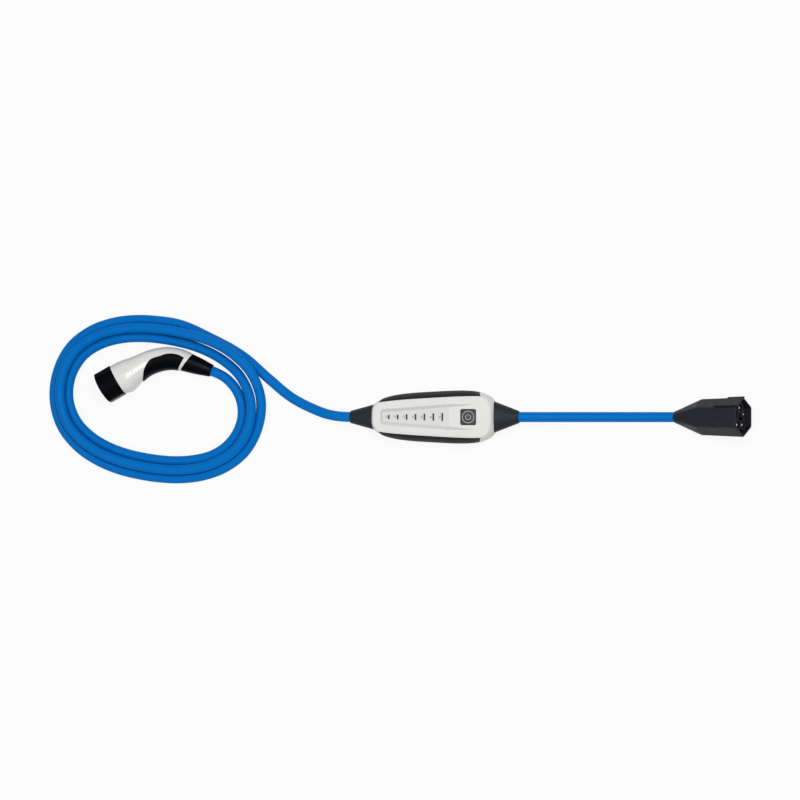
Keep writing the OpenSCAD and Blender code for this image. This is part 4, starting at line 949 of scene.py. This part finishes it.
connector_pieces = [
    piece(name, patches, slot, node, sharp=sharp, place=at_connector)
    for name, patches, slot, node, sharp in (
        ("connector_top", connector_half(0, 180), "connector_white", "connector_upper_shell", 45),
        ("connector_under", connector_half(180, 360), "connector_white", "connector_lower_shell",
         45),
        ("handle_pad", grip_pad(), "connector_black", "grip_pad", 60),
        ("nose", nose_sleeve(), "connector_black", "nose_sleeve", 50),
        ("handle_boot", connector_boot(), "connector_black", "connector_boot", 50))]
connector_pieces += [nodes[name] for name in (
    "contact_carrier", "power_contacts", "signal_contacts", "connector_clamp", "connector_leads")]


# Supply plug: its tail's rings, with pairs of x and half width, and of x and how six-sided it is

TAIL_X = np.array([0.0, 0.8, 2.0, 12, 24.5, 36, 47, PLUG_TAIL_L, 51])
TAIL_HALF = np.array([[0, 9.0], [0.8, 9.6], [2, 10.2], [24.5, 18.1], [49, 26], [51, 26.1]])
TAIL_SIX = np.array([[2, 0], [24.5, 0.6], [49, 1]])
TAIL_CREASE = 0.12
BODY_X = np.array([60.0, 90, 120, 124.6, 125.6, PLUG_L])
BODY_INSET = np.array([0, 0, 0, 0, 0.3, 0.9])
RIM_INSET, RIM_DEPTH, BORE_L = 1.9, 0.5, 10.0
PLATE_TURNS, PLATE_FRONT = (4.0, 56.0), PLUG_L + 3
PLATE_BACK, PLATE_SLANT = 101, 17
PLATE_T, PLATE_BED, PLATE_EDGE_R, PLATE_MM_PER_TURN = 2.4, 0.1, 0.7, 0.5


def hexagon(a):
    """Radius of a soft hexagon of half width 1: (sum of cos^p to its six sides)^(-1/p)."""
    sides = FLAT_TURN + full_turn(6)
    facing = np.clip(cosd(np.asarray(a, float)[..., None] - sides), 0, None)
    return (facing**HEX_EDGE).sum(axis=-1) ** (-1 / HEX_EDGE)


def plug_rings(x, half, six):
    """Rings of the plug: round where six is 0 and six-sided where it is 1."""
    x, half, six = (np.asarray(v, float)[:, None] for v in (x, half, six))
    a = full_turn(PLUG_SIDES)
    r = half * mix(1, hexagon(a), six)
    return np.stack([np.broadcast_to(x, r.shape), r * cosd(a), r * sind(a)], axis=-1)


def plug_half(x):
    """Half width of the plug's body, which widens from the tail's root to the face."""
    return mix(PLUG_ROOT_W, PLUG_FACE_W, (x - PLUG_TAIL_L) / (PLUG_L - PLUG_TAIL_L)) / 2


def plug_body():
    """Plug: from the cable's bore over tail and six-sided body into the cup round the pins."""
    tail_half = np.interp(TAIL_X, *TAIL_HALF.T) - TAIL_CREASE * (TAIL_X == PLUG_TAIL_L)
    cup_x = [PLUG_L, PLUG_L - RIM_DEPTH, PLUG_CUP_X]
    cup_half = [PLUG_FACE_W / 2 - RIM_INSET, PLUG_FACE_W / 2 - PLUG_WALL,
                plug_half(PLUG_CUP_X) - PLUG_WALL]
    bore_half = np.full(2, CABLE_R + BORE_GAP)
    x = np.concatenate([[BORE_L, 0], TAIL_X, BODY_X, cup_x])
    half = np.concatenate([bore_half, tail_half, plug_half(BODY_X) - BODY_INSET, cup_half])
    six = np.concatenate([[0, 0], np.interp(TAIL_X, *TAIL_SIX.T), np.ones(len(BODY_X) + 3)])
    return [rings(plug_rings(x, half, six))]


def guide_plate():
    """Plate on the flat beside the top one, cut off aslant behind and proud of the face."""
    a = mix(*PLATE_TURNS, eased(PLATE_STEPS))
    start = PLATE_BACK - PLATE_SLANT * a / (2 * FLAT_TURN)
    x = mix(start, PLATE_FRONT, eased(PLATE_STEPS)[:, None])
    e = np.minimum(np.minimum(x - start, PLATE_FRONT - x), from_ends(a) * PLATE_MM_PER_TURN)

    def flat(height):
        r = (plug_half(x) + height) / cosd(a - FLAT_TURN)
        return np.stack([x, r * cosd(a), r * sind(a)], axis=-1)

    return [slab(flat(PLATE_T - rounded_edge(e, PLATE_EDGE_R)), flat(PLATE_BED))]


def screw_holes():
    """Mouths of the four screw holes: upright cylinders turned round the plug onto its flats."""
    a = full_turn(HOLE_SIDES)
    rise = plug_half(PLUG_SCREW_X) + np.array([[-PLUG_SCREW_DEPTH], [PLUG_SCREW_DEPTH]])
    y, z = np.broadcast_arrays(PLUG_SCREW_R * sind(a), rise)
    x = np.broadcast_to(PLUG_SCREW_X + PLUG_SCREW_R * cosd(a), y.shape)
    return [rings(np.stack([x, y * cosd(t) - z * sind(t), y * sind(t) + z * cosd(t)], axis=-1))
            for t in PLUG_SCREW_TURNS]


plug_pieces = [
    piece("plug_shell", plug_body(), "plug_black", "plug_housing", sharp=24, place=at_plug,
          holes=screw_holes()),
    piece("plug_plate", guide_plate(), "plug_black", "plug_key", sharp=40, place=at_plug)]
plug_pieces += [nodes[name] for name in (
    "pin_carrier", "plug_pins", "plug_clamp", "plug_leads", "plug_screws")]

# The CAD nodes that no piece replaces show their solids in their slot's finish; the plug's screws
# are blackened
node_slot = {s["node"]: s["material_slot"] for s in frame["record"]["subparts"]}
for name, obj in nodes.items():
    if not obj.material_slots:
        obj.data.materials.append(None)
    for part_slot in obj.material_slots:
        part_slot.material = BLACK_STEEL if name == "plug_screws" else FINISHES[node_slot[name]]


# Floor and light; places and sizes are in metres

FLOOR_GAP, FLOOR_HALF = 0.0001, 9
FLOOR_GREY, FLOOR_GLOW, SKY_STRENGTH = 0.86, 0.88, 0.4


def pale_floor():
    """Large flat floor that looks nearly white to the camera and still takes a shadow."""
    mat = bpy.data.materials.new("floor_white")
    mat.use_nodes = True
    tree = mat.node_tree
    tree.nodes.clear()
    link = tree.links.new

    def joined(operation, a, b):
        """Output of a maths node for a socket and a second socket or a number."""
        maths = add_node(tree, "Math")
        maths.operation = operation
        link(a, maths.inputs[0])
        if isinstance(b, float):
            maths.inputs[1].default_value = b
        else:
            link(b, maths.inputs[1])
        return maths.outputs[0]

    rays = add_node(tree, "LightPath").outputs
    seen = joined("MAXIMUM", rays["Is Camera Ray"], rays["Is Glossy Ray"])
    seen = joined("MAXIMUM", seen, rays["Is Transmission Ray"])
    matt = add_node(tree, "BsdfDiffuse", Color=(FLOOR_GREY, FLOOR_GREY, FLOOR_GREY, 1))
    glow = add_node(tree, "Emission", Color=(1, 1, 1, 1))
    both = add_node(tree, "MixShader")
    link(joined("MULTIPLY", seen, FLOOR_GLOW), both.inputs["Fac"])
    link(matt.outputs[0], both.inputs[1])
    link(glow.outputs[0], both.inputs[2])
    link(both.outputs[0], add_node(tree, "OutputMaterial").inputs["Surface"])

    mesh = bpy.data.meshes.new("floor")
    corners = FLOOR_HALF * np.array([[-1, -1], [1, -1], [1, 1], [-1, 1]])
    mesh.from_pydata(raised(corners, cad_low[2] - FLOOR_GAP), [], [(0, 1, 2, 3)])
    mesh.materials.append(mat)
    linked("floor", mesh)


def lamp(name, place, aim, size, watts):
    """Rectangular area lamp that faces its aim."""
    data = bpy.data.lights.new(name, "AREA")
    data.shape = "RECTANGLE"
    data.size, data.size_y = size
    data.energy = watts
    obj = linked(name, data)
    obj.location = place
    obj.rotation_mode = "QUATERNION"
    obj.rotation_quaternion = (Vector(aim) - Vector(place)).to_track_quat("-Z", "Y")


pale_floor()
lamp("key", place=(0.7, 0.5, 3.0), aim=(-0.1, 0, 0), size=(1.4, 1.2), watts=53)
lamp("fill", place=(-1.9, -0.9, 2.4), aim=(0, 0, 0), size=(1.2, 1.0), watts=12)
world = bpy.data.worlds.new("studio")
world.use_nodes = True
sky = world.node_tree.nodes["Background"]
sky.inputs["Color"].default_value = (1, 1, 1, 1)
sky.inputs["Strength"].default_value = SKY_STRENGTH
bpy.context.scene.world = world
bpy.context.scene.view_settings.view_transform = "Standard"
